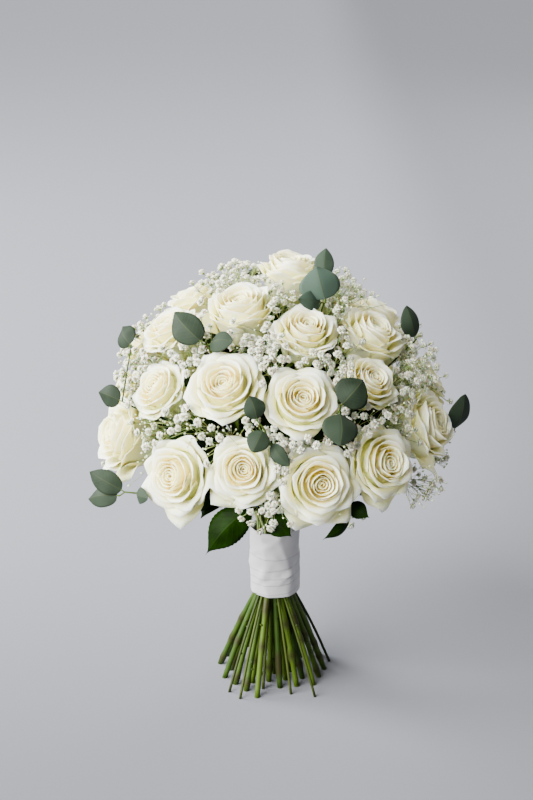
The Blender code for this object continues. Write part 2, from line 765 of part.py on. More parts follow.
def main():
    """Build the bouquet."""
    for old in list(bpy.data.objects):
        bpy.data.objects.remove(old)
    scene = bpy.context.scene
    bouquet = bpy.data.collections.new("bridal_bouquet")
    scene.collection.children.link(bouquet)

    petals = finish("petals", CREAM, 0.55)
    stems = finish("stems", STEM_GREEN, 0.5)
    silver = finish("eucalyptus", SILVER_GREEN, 0.6)
    floret_white = finish("florets", FLORET_WHITE, 0.7)
    dark_leaf = finish("leaves", LEAF_GREEN, 0.35)
    satin = finish("ribbon", SATIN_WHITE, 0.35)
    tape = finish("tape", TAPE_GREEN, 0.8)

    rose_feet = [bloom_seat(index)[0] for index in range(len(ROSES))]
    sprig_feet = [dome_point(*leaves[0][0]) for _, leaves in SPRIGS]
    leaf_feet = [dome_point(*leaves[0][0]) for _, leaves in LEAF_STEMS]
    spray_feet = [dome_point(*heads[0][:3]) for _, heads in SPRAYS]
    places = share_places([*rose_feet, *sprig_feet, *leaf_feet, *spray_feet])
    radii = [ROSE_STEM_RADIUS] * len(ROSES) + [SPRIG_STEM_RADIUS] * len(SPRIGS)
    radii += [LEAF_STEM_RADIUS] * len(LEAF_STEMS) + [SPRAY_STEM_RADIUS] * len(SPRAYS)
    places = squeeze(places, radii)
    bundle = max(place.length + radius for place, radius in zip(places, radii))

    surroundings = Surroundings()
    for index in range(len(ROSES)):
        surroundings.add(make_bloom(index, petals, bouquet))
    surroundings.add(make_rose_stems(places[:len(ROSES)], stems, bouquet))
    places = places[len(ROSES):]
    for (name, leaves), place in zip(SPRIGS, places):
        surroundings.add(make_leafy_stem(
            f"eucalyptus_{name}", leaves, place, SPRIG_STEM_RADIUS, True, silver, bouquet, surroundings))
    places = places[len(SPRIGS):]
    for (name, leaves), place in zip(LEAF_STEMS, places):
        surroundings.add(make_leafy_stem(
            f"leaves_{name}", leaves, place, LEAF_STEM_RADIUS, False, dark_leaf, bouquet, surroundings))
    places = places[len(LEAF_STEMS):]
    for (name, heads), place in zip(SPRAYS, places):
        rng = random.Random(name)
        surroundings.add(make_spray(
            f"babys_breath_{name}", heads, place, floret_white, bouquet, rng, surroundings))
    ring("ribbon_wrap", ribbon_levels(), RIBBON_BORE, satin, bouquet)
    tape_levels = ((TAPE_BOTTOM, TAPE_RADIUS), (TAPE_TOP, TAPE_RADIUS))
    tape_bore = (bundle + GAP) / math.cos(math.pi / SLEEVE_SIDES)
    ring("binding_tape", tape_levels, tape_bore, tape, bouquet)


main()
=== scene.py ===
"""The looks of a hand-tied bridal bouquet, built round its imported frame.

Roses, baby's breath, eucalyptus, dark leaves, cut stems and a satin ribbon each replace the
plain solid that holds their place. Lengths are in metres; the tables of the dome give degrees
and millimetres, as turn round the dome (0 the front, 90 the right), lift above its equator
and reach from its centre.
"""

import logging
import math
import random
from dataclasses import dataclass, field
from enum import Enum
from itertools import product
from operator import add

import bpy
import numpy as np
from bpy.types import ID, Material, NodeSocket, Object
from mathutils import Matrix, Vector
from mathutils.bvhtree import BVHTree


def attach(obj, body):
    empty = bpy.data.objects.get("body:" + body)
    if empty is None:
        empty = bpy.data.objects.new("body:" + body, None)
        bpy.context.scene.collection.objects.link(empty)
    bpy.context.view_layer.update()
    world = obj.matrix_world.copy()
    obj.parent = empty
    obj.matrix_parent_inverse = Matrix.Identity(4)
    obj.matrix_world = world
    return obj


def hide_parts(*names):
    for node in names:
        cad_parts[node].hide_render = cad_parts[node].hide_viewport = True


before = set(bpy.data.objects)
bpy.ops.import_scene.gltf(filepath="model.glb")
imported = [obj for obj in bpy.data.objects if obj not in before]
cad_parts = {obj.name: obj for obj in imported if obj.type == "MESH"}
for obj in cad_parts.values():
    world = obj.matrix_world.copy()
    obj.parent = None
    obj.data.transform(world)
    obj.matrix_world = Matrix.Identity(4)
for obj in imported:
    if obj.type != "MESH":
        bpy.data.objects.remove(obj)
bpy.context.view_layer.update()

MM = 0.001
GAP = 0.3 * MM
TINY = 1e-12
BODY = "root"
# The width of the bloom that the petals' numbers draw, in millimetres.
BLOOM_WIDTH = 54.0
log = logging.getLogger("bouquet")

Colour = tuple[float, float, float]
# Turn, lift and reach.
Place = tuple[float, float, float]
# The base and the tip of a leaf, its width, and the turn and lift that it faces.
Leaf = tuple[Place, Place, float, tuple[float, float]]
# Turn, lift, reach and fullness.
Head = tuple[float, float, float, float]
# The point numbers of each face, from 0.
Faces = list[list[int]]

# Each rose: turn, lift and width.
ROSES = (
    (112, 84, 56), (-34, 67, 58), (20, 57, 54), (66, 48, 55), (106, 46, 52),
    (163, 61, 56), (-115, 53, 53), (-77, 47, 54), (-55, 27, 50), (-21, 34, 60),
    (10, 30, 57), (44, 33, 49), (93, 17, 55), (125, 26, 55), (152, 36, 54),
    (-176, 35, 50), (-147, 41, 50), (-116, 26, 58), (69, 8, 60), (-69, 4, 61),
    (-35, 0, 59), (-11, 6, 53), (14, 1, 59), (39, 4, 58), (-94, 12, 50),
    (111, -4, 52), (138, 2, 58), (164, 7, 57), (-168, 8, 58), (-141, 10, 58),
)

# Each eucalyptus sprig, with its leaves from the lowest up.
SPRIGS = (
    ("crown", (((44, 67, 141), (18, 67, 150), 16, (0, 30)),
               ((40, 65, 146), (42, 73, 166), 34, (10, 30)),
               ((56, 72, 153), (80, 76, 171), 16, (0, 20)))),
    ("left_shoulder", (((-35, 49, 142), (-20, 50, 151), 18, (-25, 45)),
                       ((-35, 48, 147), (-57, 53, 158), 25, (-30, 45)))),
    ("left_side", (((-62, 22, 149), (-71, 21, 161), 18, (-40, 25)),
                   ((-81, 36, 147), (-93, 37, 158), 20, (-50, 30)))),
    ("left_skirt", (((-51, -5, 144), (-42, -3, 150), 13, (-35, 15)),
                    ((-54, -5, 149), (-65, -1, 165), 19, (-35, 35)),
                    ((-55, -6, 152), (-65, -9, 169), 19, (-35, 30)))),
    ("centre", (((-2, 20, 142), (4, 13, 150), 12, (0, 20)),
                ((-4, 24, 145), (-7, 17, 153), 18, (-5, 25)),
                ((-6, 26, 147), (-9, 33, 153), 17, (-5, 30)))),
    ("right_front", (((22, 28, 147), (19, 18, 157), 29, (20, 25)),
                     ((22, 29, 149), (31, 35, 158), 28, (20, 35)))),
    ("right_side", (((81, 5, 150), (80, 17, 165), 23, (35, 20)),)),
    ("right_shoulder", (((83, 38, 146), (84, 48, 160), 18, (30, 30)),)),
    ("back_left", (((-158, 22, 144), (-150, 31, 158), 26, (-155, 30)),
                   ((-157, 20, 147), (-168, 14, 159), 24, (-160, 15)))),
    ("back_crown", (((-155, 57, 140), (-147, 48, 152), 24, (-150, 55)),
                    ((-158, 56, 144), (179, 49, 154), 24, (-170, 50)))),
)

# Painted light: how much paler the leaves of a sprig that faces the light are painted.
PAINTED_LIGHT_LIFT = {"sprig_crown": 1.2}

# Each stem of dark leaves under the dome's rim.
LEAF_STEMS = (
    ("front", (((-8, -3, 126), (-23, -19, 148), 28, (-15, 10)),
               ((-4, -7, 129), (5, -11, 144), 19, (0, 20)))),
    ("right", (((27, -5, 126), (30, -7, 147), 14, (20, 5)),
               ((28, -9, 130), (16, -15, 138), 11, (15, 0)))),
    ("back", (((174, -4, 126), (162, -14, 150), 26, (168, 5)),
              ((178, -6, 130), (-170, -17, 152), 28, (-175, 0)))),
)

# Each spray of baby's breath, with its heads in the gaps between blooms.
SPRAYS = (
    ("left", ((-73, 29, 146, 5), (-99, 36, 147, 4))),
    ("left_crown", ((-92, 74, 150, 5), (-51, 47, 144, 3))),
    ("right_crown", ((84, 68, 152, 5), (61, 66, 150, 4))),
    ("upper_front", ((-4, 48, 142, 5), (28, 43, 146, 4))),
    ("right", ((71, 30, 147, 5), (86, 30, 152, 4))),
    ("left_front", ((-39, 21, 143, 4), (-52, 15, 145, 3))),
    ("centre", ((3, 14, 143, 4), (1, 3, 143, 2))),
    ("right_front", ((48, 19, 144, 4), (27, 18, 144, 3))),
    ("right_skirt", ((57, -5, 153, 5), (88, -8, 146, 4))),
    ("front_skirt", ((0, -2, 147, 2), (24, -8, 143, 1))),
    ("back_right", ((142, 20, 145, 4), (134, 52, 147, 4))),
    ("back_left", ((-155, 25, 145, 4), (-138, 64, 148, 4))),
    ("back_skirt", ((176, -9, 145, 4), (174, 20, 146, 4))),
    ("left_skirt", ((-117, 3, 147, 4), (-92, -9, 144, 4))),
)

# Small side heads in such gaps, for each spray that has one.
FILLS = {
    "left_front": ((-20, 18, 142, 2),),
    "left_crown": ((-20, 74, 147, 2),),
    "upper_front": ((5, 67, 145, 2),),
    "back_right": ((116, 11, 143, 2),),
    "right_skirt": ((90, 4, 141, 2),),
}

# The sprays that are mostly in bud.
BUDDING = ("left_front", "right_crown")

# The guard petals that droop from a rose, as angles round it (270 points down).
DROOPING = {20: (272,), 21: (228,), 22: (236, 304), 23: (262,), 19: (285,), 18: (250,), 1: (205,)}

# How far the outer petals of the younger roses have opened, 1 being wide open.
OPENNESS = {0: 0.6, 1: 0.5, 2: 0.8, 3: 0.8, 11: 0.85, 13: 0.7, 15: 0.8, 18: 0.55, 19: 0.65, 25: 0.6,
            29: 0.75}


def smooth(x: np.ndarray | float, low: float, high: float) -> np.ndarray | float:
    """A soft step.

    Args:
        x: Where to read the step.
        low: Where it leaves 0.
        high: Where it reaches 1.

    Returns:
        The step's height at x.
    """
    t = np.clip((x - low) / (high - low), 0, 1)
    return t * t * (3 - 2 * t)


def curve(start: Vector, pull_start: Vector, pull_end: Vector, end: Vector, steps: int) -> list[Vector]:
    """Points of a cubic curve.

    Args:
        start: Its first point.
        pull_start: The control point after it.
        pull_end: The control point before the end.
        end: Its last point.
        steps: How many stretches it is cut into.

    Returns:
        The points, steps + 1 of them.
    """
    points = []
    for step in range(steps + 1):
        t = step / steps
        s = 1 - t
        points.append(start * s**3 + pull_start * 3 * s * s * t + pull_end * 3 * s * t * t + end * t**3)
    return points


def circle(sides: int) -> np.ndarray:
    """The points of a circle of radius 1, in x and y."""
    turns = np.arange(sides) * math.tau / sides
    return np.stack([np.cos(turns), np.sin(turns)], 1)


def stand_along(axis: Vector) -> np.ndarray:
    """The turn that stands a thing made along +Z up along an axis."""
    return np.array(axis.to_track_quat("Z", "Y").to_matrix())


def show(name: str, data: ID) -> Object:
    """Put an object into the scene.

    Args:
        name: Its name.
        data: Its mesh, lamp or camera.

    Returns:
        The object.
    """
    shown = bpy.data.objects.new(name, data)
    bpy.context.scene.collection.objects.link(shown)
    return shown


@dataclass(frozen=True)
class Dome:
    """The round head of the bouquet, in which every bloom, leaf and spray has its place."""

    centre: Vector = Vector((0, 0, 226 * MM))
    aim: Vector = Vector((0, 0, 190 * MM))
    seat: float = 104 * MM
    apex_lift: float = 10 * MM

    def outward(self, turn: float, lift: float) -> Vector:
        """The unit vector from the centre towards a place.

        Args:
            turn: Its angle round the dome.
            lift: Its angle above the equator.

        Returns:
            The vector.
        """
        a = math.radians(turn)
        e = math.radians(lift)
        return Vector((math.sin(a) * math.cos(e), -math.cos(a) * math.cos(e), math.sin(e)))

    def point(self, turn: float, lift: float, reach: float) -> Vector:
        """A point a reach in millimetres from the centre."""
        return self.centre + self.outward(turn, lift) * reach * MM

    def bloom(self, index: int) -> tuple[Vector, Vector]:
        """A bloom's foot and the axis that it opens along.

        Args:
            index: The rose's place in ROSES.

        Returns:
            The foot and the unit axis.
        """
        turn, lift, _ = ROSES[index]
        seat = self.seat + (self.apex_lift if index == 0 else 0)
        foot = self.centre + self.outward(turn, lift) * seat
        return foot, (foot - self.aim).normalized()


@dataclass
class Room:
    """Solids or finished pieces, which stems and florets find their way between."""

    points: list[Vector] = field(default_factory=list)
    faces: Faces = field(default_factory=list)
    tree: BVHTree | None = None

    def take(self, points: list[Vector], faces: Faces) -> None:
        """Add points and the faces between them.

        Args:
            points: The points.
            faces: Their faces.
        """
        first = len(self.points)
        self.points.extend(points)
        self.faces.extend([first + i for i in face] for face in faces)
        self.tree = None

    def take_node(self, name: str) -> None:
        """Add one of the frame's nodes.

        Args:
            name: The node's name.
        """
        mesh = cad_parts[name].data
        self.take([vert.co.copy() for vert in mesh.vertices],
                  [list(face.vertices) for face in mesh.polygons])

    def take_draft(self, draft: "MeshDraft") -> None:
        """Add a finished piece."""
        self.take([Vector(point) for point in np.concatenate(draft.points)], draft.faces)

    def distance(self, point: Vector) -> float:
        """How far a point is from the nearest surface.

        Args:
            point: The point.

        Returns:
            The distance.
        """
        if self.tree is None:
            self.tree = BVHTree.FromPolygons(self.points, self.faces)
        return self.tree.find_nearest(point)[3]

    def along(self, points: list[Vector], least: float) -> float:
        """The room along a line.

        Args:
            points: The line.
            least: A room under which the search stops.

        Returns:
            The smallest distance found.
        """
        room = math.inf
        for start, end in zip(points, points[1:]):
            steps = max(2, int((end - start).length / MM))
            for step in range(steps + 1):
                room = min(room, self.distance(start.lerp(end, step / steps)))
                if room < least:
                    return room
        return room


@dataclass(frozen=True)
class Binding:
    """How the stems are packed together under the ribbon and spread to the foot."""

    pitch: float = 4.2 * MM
    rows: int = 6
    bottom: float = 84 * MM
    top: float = 146 * MM
    short_end: float = 93 * MM
    foot_spread: float = 3.55
    foot_radius: float = 54 * MM
    foot_twist: float = math.radians(10)
    foot_bow: float = 0.022
    foot_steps: int = 12
    rose_radius: float = 2.6 * MM
    sprig_radius: float = 1.2 * MM
    spray_radius: float = 1.0 * MM
    press: float = 0.99
    low_pull: float = 0.3
    high_pull: float = 0.35
    bend_sizes: tuple[int, ...] = (4, 8, 13, 19, 26)
    bend_ways: int = 8
    most_low_bend: float = 14 * MM
    rough_steps: int = 3
    fine_steps: int = 14

    def lattice(self, count: int) -> list[Vector]:
        """The places of a hexagonal bundle, from its middle outwards.

        Args:
            count: How many are wanted.

        Returns:
            The places, as plane vectors.
        """
        steps = range(-self.rows, self.rows + 1)
        places = []
        for row in steps:
            across = self.pitch * row * math.sqrt(3) / 2
            places += [Vector((self.pitch * (column + row / 2), across)) for column in steps]
        places.sort(key=lambda p: (round(p.length, 6), math.atan2(p.y, p.x)))
        return places[:count]

    def share(self, targets: list[Vector]) -> list[Vector]:
        """Give each stem the place in the bundle that suits where it goes.

        Args:
            targets: Where each stem ends in the dome.

        Returns:
            Each stem's place, as a plane vector.
        """
        places = self.lattice(len(targets))
        farthest = max(target.xy.length for target in targets)
        wanted = [target.xy * (places[-1].length / farthest) for target in targets]
        order = sorted(range(len(targets)), key=lambda i: wanted[i].length)
        held = [Vector((0, 0))] * len(targets)
        for place, index in zip(places, order):
            held[index] = place
        better = True
        while better:
            better = False
            for i in range(1, len(held)):
                for j in range(1, i):
                    now = (held[i] - wanted[i]).length_squared + (held[j] - wanted[j]).length_squared
                    swapped = (held[j] - wanted[i]).length_squared + (held[i] - wanted[j]).length_squared
                    if swapped < now - TINY:
                        held[i], held[j] = held[j], held[i]
                        better = True
        return held

    def squeeze(self, places: list[Vector], radii: list[float]) -> list[Vector]:
        """Press the thin stems towards the middle until each all but touches a neighbour.

        Args:
            places: Each stem's place in the bundle.
            radii: Each stem's radius.

        Returns:
            The places after pressing.
        """
        squeezed = list(places)
        for i in sorted(range(len(places)), key=lambda k: places[k].length):
            if radii[i] >= self.rose_radius:
                continue
            others = [j for j in range(len(places)) if j != i]
            pressed = squeezed[i]
            while all((pressed - squeezed[j]).length > radii[i] + radii[j] + GAP for j in others):
                squeezed[i] = pressed
                pressed = pressed * self.press
        return squeezed

    def foot(self, place: Vector) -> Vector:
        """Where a stem's level cut end stands.

        Args:
            place: Its place in the bundle.

        Returns:
            The middle of the cut end.
        """
        if place.length < GAP:
            return Vector((0, 0, 0))
        turned = (Matrix.Rotation(self.foot_twist, 2) @ place).normalized()
        out = min(place.length * self.foot_spread, self.foot_radius)
        return Vector((turned.x * out, turned.y * out, 0))

    def path(self, place: Vector, target: Vector, heading: Vector, steps: int, to_foot: bool,
             bends: tuple[Vector, Vector]) -> list[Vector]:
        """A stem's centre line.

        Args:
            place: Its place in the bundle.
            target: Where it ends in the dome.
            heading: Its direction there.
            steps: How many stretches its upper part has.
            to_foot: Whether it reaches the foot or is cut inside the ribbon.
            bends: Moves of the upper curve's two control points.

        Returns:
            The points, from the lowest up.
        """
        low = Vector((place.x, place.y, self.bottom if to_foot else self.short_end))
        high = Vector((place.x, place.y, self.top))
        rise = (target - high).length
        pull_start = high + Vector((0, 0, rise * self.low_pull)) + bends[0]
        pull_end = target - heading * rise * self.high_pull + bends[1]
        lower = [self.foot(place)] if to_foot else []
        return [*lower, low, *curve(high, pull_start, pull_end, target, steps)]

    def moves(self, heading: Vector) -> list[tuple[Vector, Vector]]:
        """Sideways moves of a curve's two control points, the smallest first.

        Args:
            heading: The curve's direction at its end.

        Returns:
            Pairs of moves, of the lower and the higher point.
        """
        side = heading.orthogonal().normalized()
        other = heading.cross(side)
        moves = [Vector()]
        for size in self.bend_sizes:
            for turn in range(self.bend_ways):
                angle = math.tau * turn / self.bend_ways
                moves.append((side * math.cos(angle) + other * math.sin(angle)) * size * MM)
        pairs = [(low, high) for low in moves for high in moves if low.length < self.most_low_bend]
        pairs.sort(key=lambda pair: pair[0].length + pair[1].length)
        return pairs

    def clear_path(self, place: Vector, target: Vector, heading: Vector, to_foot: bool, radius: float,
                   ahead: list[Vector], room: Room) -> list[Vector]:
        """The straightest path between the solids, drawn in fine steps.

        Args:
            place: The stem's place in the bundle.
            target: Where it ends in the dome.
            heading: Its direction there.
            to_foot: Whether it reaches the foot.
            radius: The stem's radius.
            ahead: Points that follow the target.
            room: What it keeps clear of.

        Returns:
            The path's points.
        """
        bound = 2 if to_foot else 1
        best = (Vector(), Vector())
        most = 0.0
        for bends in self.moves(heading):
            line = self.path(place, target, heading, self.rough_steps, to_foot, bends) + ahead
            clear = room.along(line[bound:], most)
            if clear > most:
                most = clear
                best = bends
            if clear > radius + GAP:
                break
        return self.path(place, target, heading, self.fine_steps, to_foot, best) + ahead

    def bow_foot(self, path: list[Vector], radii: np.ndarray) -> tuple[list[Vector], np.ndarray]:
        """Add points between a stem's cut end and the binding, where it bows a little.

        Args:
            path: The centre line from the cut end up.
            radii: A radius for each point.

        Returns:
            The longer path and its radii.
        """
        foot = path[0]
        low = path[1]
        bow = Vector((low.x + foot.x, low.y + foot.y, 0)) * self.foot_bow
        lower = []
        for k in range(self.foot_steps):
            t = k / self.foot_steps
            lower.append(foot.lerp(low, t) + bow * math.sin(math.pi * t))
        return [*lower, *path[1:]], np.concatenate([np.full(self.foot_steps, radii[0]), radii[1:]])


def thick_sheet(points: np.ndarray, thickness: float) -> np.ndarray:
    """A sheet's front and back as one closed band round its rows.

    Args:
        points: The sheet's grid of points.
        thickness: How thick it is in the middle; its edges are thinner.

    Returns:
        A grid whose columns run over the front and back again.
    """
    normal = np.cross(np.gradient(points, axis=0), np.gradient(points, axis=1))
    normal /= np.maximum(np.linalg.norm(normal, axis=2), TINY)[..., None]
    body = 0.25 + 0.75 * np.sqrt(1 - np.linspace(-1, 1, points.shape[1])**2 * 0.98)
    offset = normal * (thickness / 2 * body)[None, :, None]
    return np.concatenate([points + offset, (points - offset)[:, ::-1]], 1)


# Painted on stems and leaves: the place along and across a blade, a tone of its own, how much of a
# node or a cut end, and which finish.
LEAFY_VALUES = ("rise", "across", "lot", "node", "cut", "finish")


class MeshDraft:
    """Points, faces and painted values that grow into one mesh."""

    def __init__(self, *values: str) -> None:
        """Start an empty draft.

        Args:
            values: The names of the values painted on its points.
        """
        self.points: list[np.ndarray] = []
        self.faces: Faces = []
        self.count = 0
        self.values: dict[str, list[np.ndarray]] = {name: [] for name in values}

    def add(self, points: np.ndarray, faces: Faces, **values: np.ndarray | float) -> None:
        """Add points and the faces between them.

        Args:
            points: Rows of x, y and z.
            faces: Their faces.
            values: A number for each point, or one for all, by its painted name.
        """
        points = np.asarray(points, float).reshape(-1, 3)
        self.points.append(points)
        first = self.count
        self.faces.extend([first + i for i in face] for face in faces)
        self.count += len(points)
        for name, kept in self.values.items():
            given = np.asarray(values.get(name, 0.0), float)
            kept.append(np.broadcast_to(given.reshape(-1) if given.ndim else given, (len(points),)))

    def add_grid(self, grid: np.ndarray, closed: bool = False, **values: np.ndarray | float) -> None:
        """Add a patch of points in rows and columns.

        Args:
            grid: The points, by row and column.
            closed: Whether the last column joins the first.
            values: Painted values, as in add.
        """
        rows, columns = grid.shape[:2]
        faces = []
        for r in range(rows - 1):
            for c in range(columns if closed else columns - 1):
                right = (c + 1) % columns
                faces.append([r * columns + c, r * columns + right, (r + 1) * columns + right,
                              (r + 1) * columns + c])
        self.add(grid.reshape(-1, 3), faces, **values)

    def add_sheet(self, grid: np.ndarray, thickness: float, **values: np.ndarray | float) -> None:
        """Add a patch that has a front and a back.

        Args:
            grid: The points of its middle, by row and column.
            thickness: How thick it is.
            values: Painted values, one for all or one for each point of the grid.
        """
        both = {name: np.concatenate([value, value[:, ::-1]], 1) if np.ndim(value) else value
                for name, value in values.items()}
        self.add_grid(thick_sheet(grid, thickness), closed=True, **both)

    def add_tube(self, path: list[Vector] | np.ndarray, radii: np.ndarray | float, sides: int,
                 flat_start: bool = False, **values: np.ndarray | float) -> None:
        """Add a round rod along a path, with closed ends.

        Args:
            path: Its centre line.
            radii: Its radius, or one for each point.
            sides: How many faces go round it.
            flat_start: Whether its first ring lies level.
            values: Painted values, one for all or one for each point of the path.
        """
        path = np.array([tuple(p) for p in path], float)
        radii = np.broadcast_to(np.asarray(radii, float), (len(path),))
        headings = np.gradient(path, axis=0)
        headings /= np.linalg.norm(headings, axis=1)[:, None]
        if flat_start:
            headings[0] = (0, 0, 1)
        aside = (0.3, 0.9, 0.1) if abs(headings[0][1]) < 0.8 else (0.9, 0.1, 0.3)
        side = np.cross(headings[0], aside)
        rim = circle(sides)
        rings = []
        for point, heading, radius in zip(path, headings, radii):
            side = side - heading * side.dot(heading)
            side /= np.linalg.norm(side)
            other = np.cross(heading, side)
            rings.append(point + (rim[:, :1] * side + rim[:, 1:] * other) * radius)
        grid = np.array(rings)
        start = self.count
        spread = {}
        for name, value in values.items():
            value = np.asarray(value, float)
            spread[name] = np.repeat(value, sides) if value.ndim else value
        self.add_grid(grid, closed=True, **spread)
        self.faces.append([start + i for i in range(sides)][::-1])
        self.faces.append([start + (len(path) - 1) * sides + i for i in range(sides)])

    def piece(self, name: str, node: str, slot: str, materials: list[Material],
              thickness: float = 0.0) -> Object:
        """Turn the draft into a piece of the bouquet.

        Args:
            name: The piece's name.
            node: The frame's node that it stands for.
            slot: The name of a material slot; not used.
            materials: Its finishes; the value painted as finish picks one for each face.
            thickness: Thickness given to its sheets, or 0 for none.

        Returns:
            The piece.
        """
        points = np.concatenate(self.points)
        mesh = bpy.data.meshes.new(name)
        mesh.from_pydata(points.tolist(), [], self.faces)
        picks = None
        for value, kept in self.values.items():
            numbers = np.concatenate(kept).astype(np.float32)
            if value == "finish":
                picks = numbers
                continue
            layer = mesh.attributes.new(value, "FLOAT", "POINT")
            layer.data.foreach_set("value", numbers)
        for material in materials:
            mesh.materials.append(material)
        if picks is not None:
            firsts = [face[0] for face in self.faces]
            mesh.polygons.foreach_set("material_index", picks[firsts].astype(np.int32))
        mesh.shade_smooth()
        mesh.update()
        piece = show(name, mesh)
        if thickness:
            shell = piece.modifiers.new("thickness", "SOLIDIFY")
            shell.thickness = thickness
            shell.offset = 0
        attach(piece, BODY)
        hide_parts(node)
        return piece


@dataclass(frozen=True)
class Signal:
    """A socket in a finish, whose arithmetic adds the nodes that work it out."""

    sheet: "NodeSheet"
    socket: NodeSocket

    def __add__(self, other: "Signal | float") -> "Signal":
        """Sum."""
        return self.sheet.maths("ADD", self, other)

    def __radd__(self, other: float) -> "Signal":
        """Sum, with the number first."""
        return self.sheet.maths("ADD", other, self)

    def __sub__(self, other: "Signal | float") -> "Signal":
        """Difference."""
        return self.sheet.maths("SUBTRACT", self, other)

    def __rsub__(self, other: float) -> "Signal":
        """Difference, with the number first."""
        return self.sheet.maths("SUBTRACT", other, self)

    def __mul__(self, other: "Signal | float") -> "Signal":
        """Product."""
        return self.sheet.maths("MULTIPLY", self, other)

    def __rmul__(self, other: float) -> "Signal":
        """Product, with the number first."""
        return self.sheet.maths("MULTIPLY", other, self)

    def __abs__(self) -> "Signal":
        """Size without sign."""
        return self.sheet.maths("ABSOLUTE", self)

    def sine(self) -> "Signal":
        """Sine."""
        return self.sheet.maths("SINE", self)

    def step(self, low: float, high: float) -> "Signal":
        """A soft step from 0 at low to 1 at high."""
        settings = {"interpolation_type": "SMOOTHSTEP"}
        return self.sheet.node("ShaderNodeMapRange", settings, {0: self, 1: low, 2: high})["Result"]


class NodeSheet:
    """A material's nodes, and the few ways in which the finishes use them."""

    def __init__(self, name: str) -> None:
        """Start a material.

        Args:
            name: Its name.
        """
        self.material = bpy.data.materials.new(name)
        self.material.use_nodes = True
        self.tree = self.material.node_tree
        self.shader = self.tree.nodes["Principled BSDF"]

    def node(self, kind: str, settings: dict, inputs: dict) -> dict[str, Signal]:
        """Add a node.

        Args:
            kind: Its type.
            settings: Values of its properties, set before its sockets; stops are the positions
                and colours of a ramp.
            inputs: A number, colour, vector or Signal for each socket, by name or place.

        Returns:
            Its outputs by name; of outputs that share a name, the enabled one.
        """
        node = self.tree.nodes.new(kind)
        for key, value in settings.items():
            if key != "stops":
                setattr(node, key, value)
                continue
            while len(node.color_ramp.elements) < len(value):
                node.color_ramp.elements.new(1)
            for element, (position, colour) in zip(node.color_ramp.elements, value):
                element.position = position
                element.color = (*colour, 1)
        for key, value in inputs.items():
            socket = node.inputs[key]
            if isinstance(value, Signal):
                self.tree.links.new(value.socket, socket)
            else:
                socket.default_value = (*value, 1) if socket.type == "RGBA" else value
        return {out.name: Signal(self, out) for out in node.outputs if out.enabled}

    def maths(self, operation: str, first: Signal | float, second: Signal | float = 0.0) -> Signal:
        """Work out one operation on a value or two."""
        return self.node("ShaderNodeMath", {"operation": operation}, {0: first, 1: second})["Value"]

    def painted(self, *names: str) -> list[Signal]:
        """The values painted on the mesh under these names."""
        return [self.node("ShaderNodeAttribute", {"attribute_name": name}, {})["Fac"] for name in names]

    def place(self) -> Signal:
        """Where a point of the piece is."""
        return self.node("ShaderNodeTexCoord", {}, {})["Object"]

    def grid(self, x: Signal, y: Signal, z: Signal | float = 0.0) -> Signal:
        """A vector of three values."""
        return self.node("ShaderNodeCombineXYZ", {}, {0: x, 1: y, 2: z})["Vector"]

    def noise(self, at: Signal, scale: float, detail: float = 2.0) -> Signal:
        """Soft noise from 0 to 1."""
        inputs = {"Vector": at, "Scale": scale, "Detail": detail}
        return self.node("ShaderNodeTexNoise", {}, inputs)["Fac"]

    def blend(self, share: Signal | float, first: Signal | Colour, second: Signal | Colour) -> Signal:
        """Mix two colours."""
        inputs = {0: share, 6: first, 7: second}
        return self.node("ShaderNodeMix", {"data_type": "RGBA"}, inputs)["Result"]

    def ramp(self, value: Signal, stops: list[tuple[float, Colour]]) -> Signal:
        """A colour for each value."""
        return self.node("ShaderNodeValToRGB", {"stops": stops}, {0: value})["Color"]

    def veins(self, slant: float, pitch: float, sharp: float, root: float) -> tuple[Signal, Signal]:
        """The pattern of a leaf's veins.

        Args:
            slant: How far the veins lean towards the tip.
            pitch: How closely they follow each other.
            sharp: Where a vein begins to show, 1 being its middle line.
            root: How far from the midrib it is at its strongest.

        Returns:
            How far a point is from the midrib, and how strong a vein is there.
        """
        across, along = self.painted("across", "rise")
        out = abs(across)
        wave = ((along - out * slant) * pitch).sine()
        return out, wave.step(sharp, 1.0) * out.step(0.02, root)

    def feed(self, socket: str, signal: Signal) -> None:
        """Lead a signal to one of the shader's sockets."""
        self.tree.links.new(signal.socket, self.shader.inputs[socket])

    def relief(self, height: Signal, distance: float, strength: float) -> None:
        """Raise the surface by a height between 0 and 1 times a distance."""
        inputs = {"Height": height, "Distance": distance, "Strength": strength}
        self.feed("Normal", self.node("ShaderNodeBump", {}, inputs)["Normal"])

    def done(self, colour: Signal, **constants: float | tuple) -> Material:
        """Finish the material.

        Args:
            colour: Its colour.
            constants: The shader's sockets that are the same all over, with underscores for spaces.

        Returns:
            The material.
        """
        self.feed("Base Color", colour)
        for key, value in constants.items():
            self.shader.inputs[key.replace("_", " ")].default_value = value
        return self.material


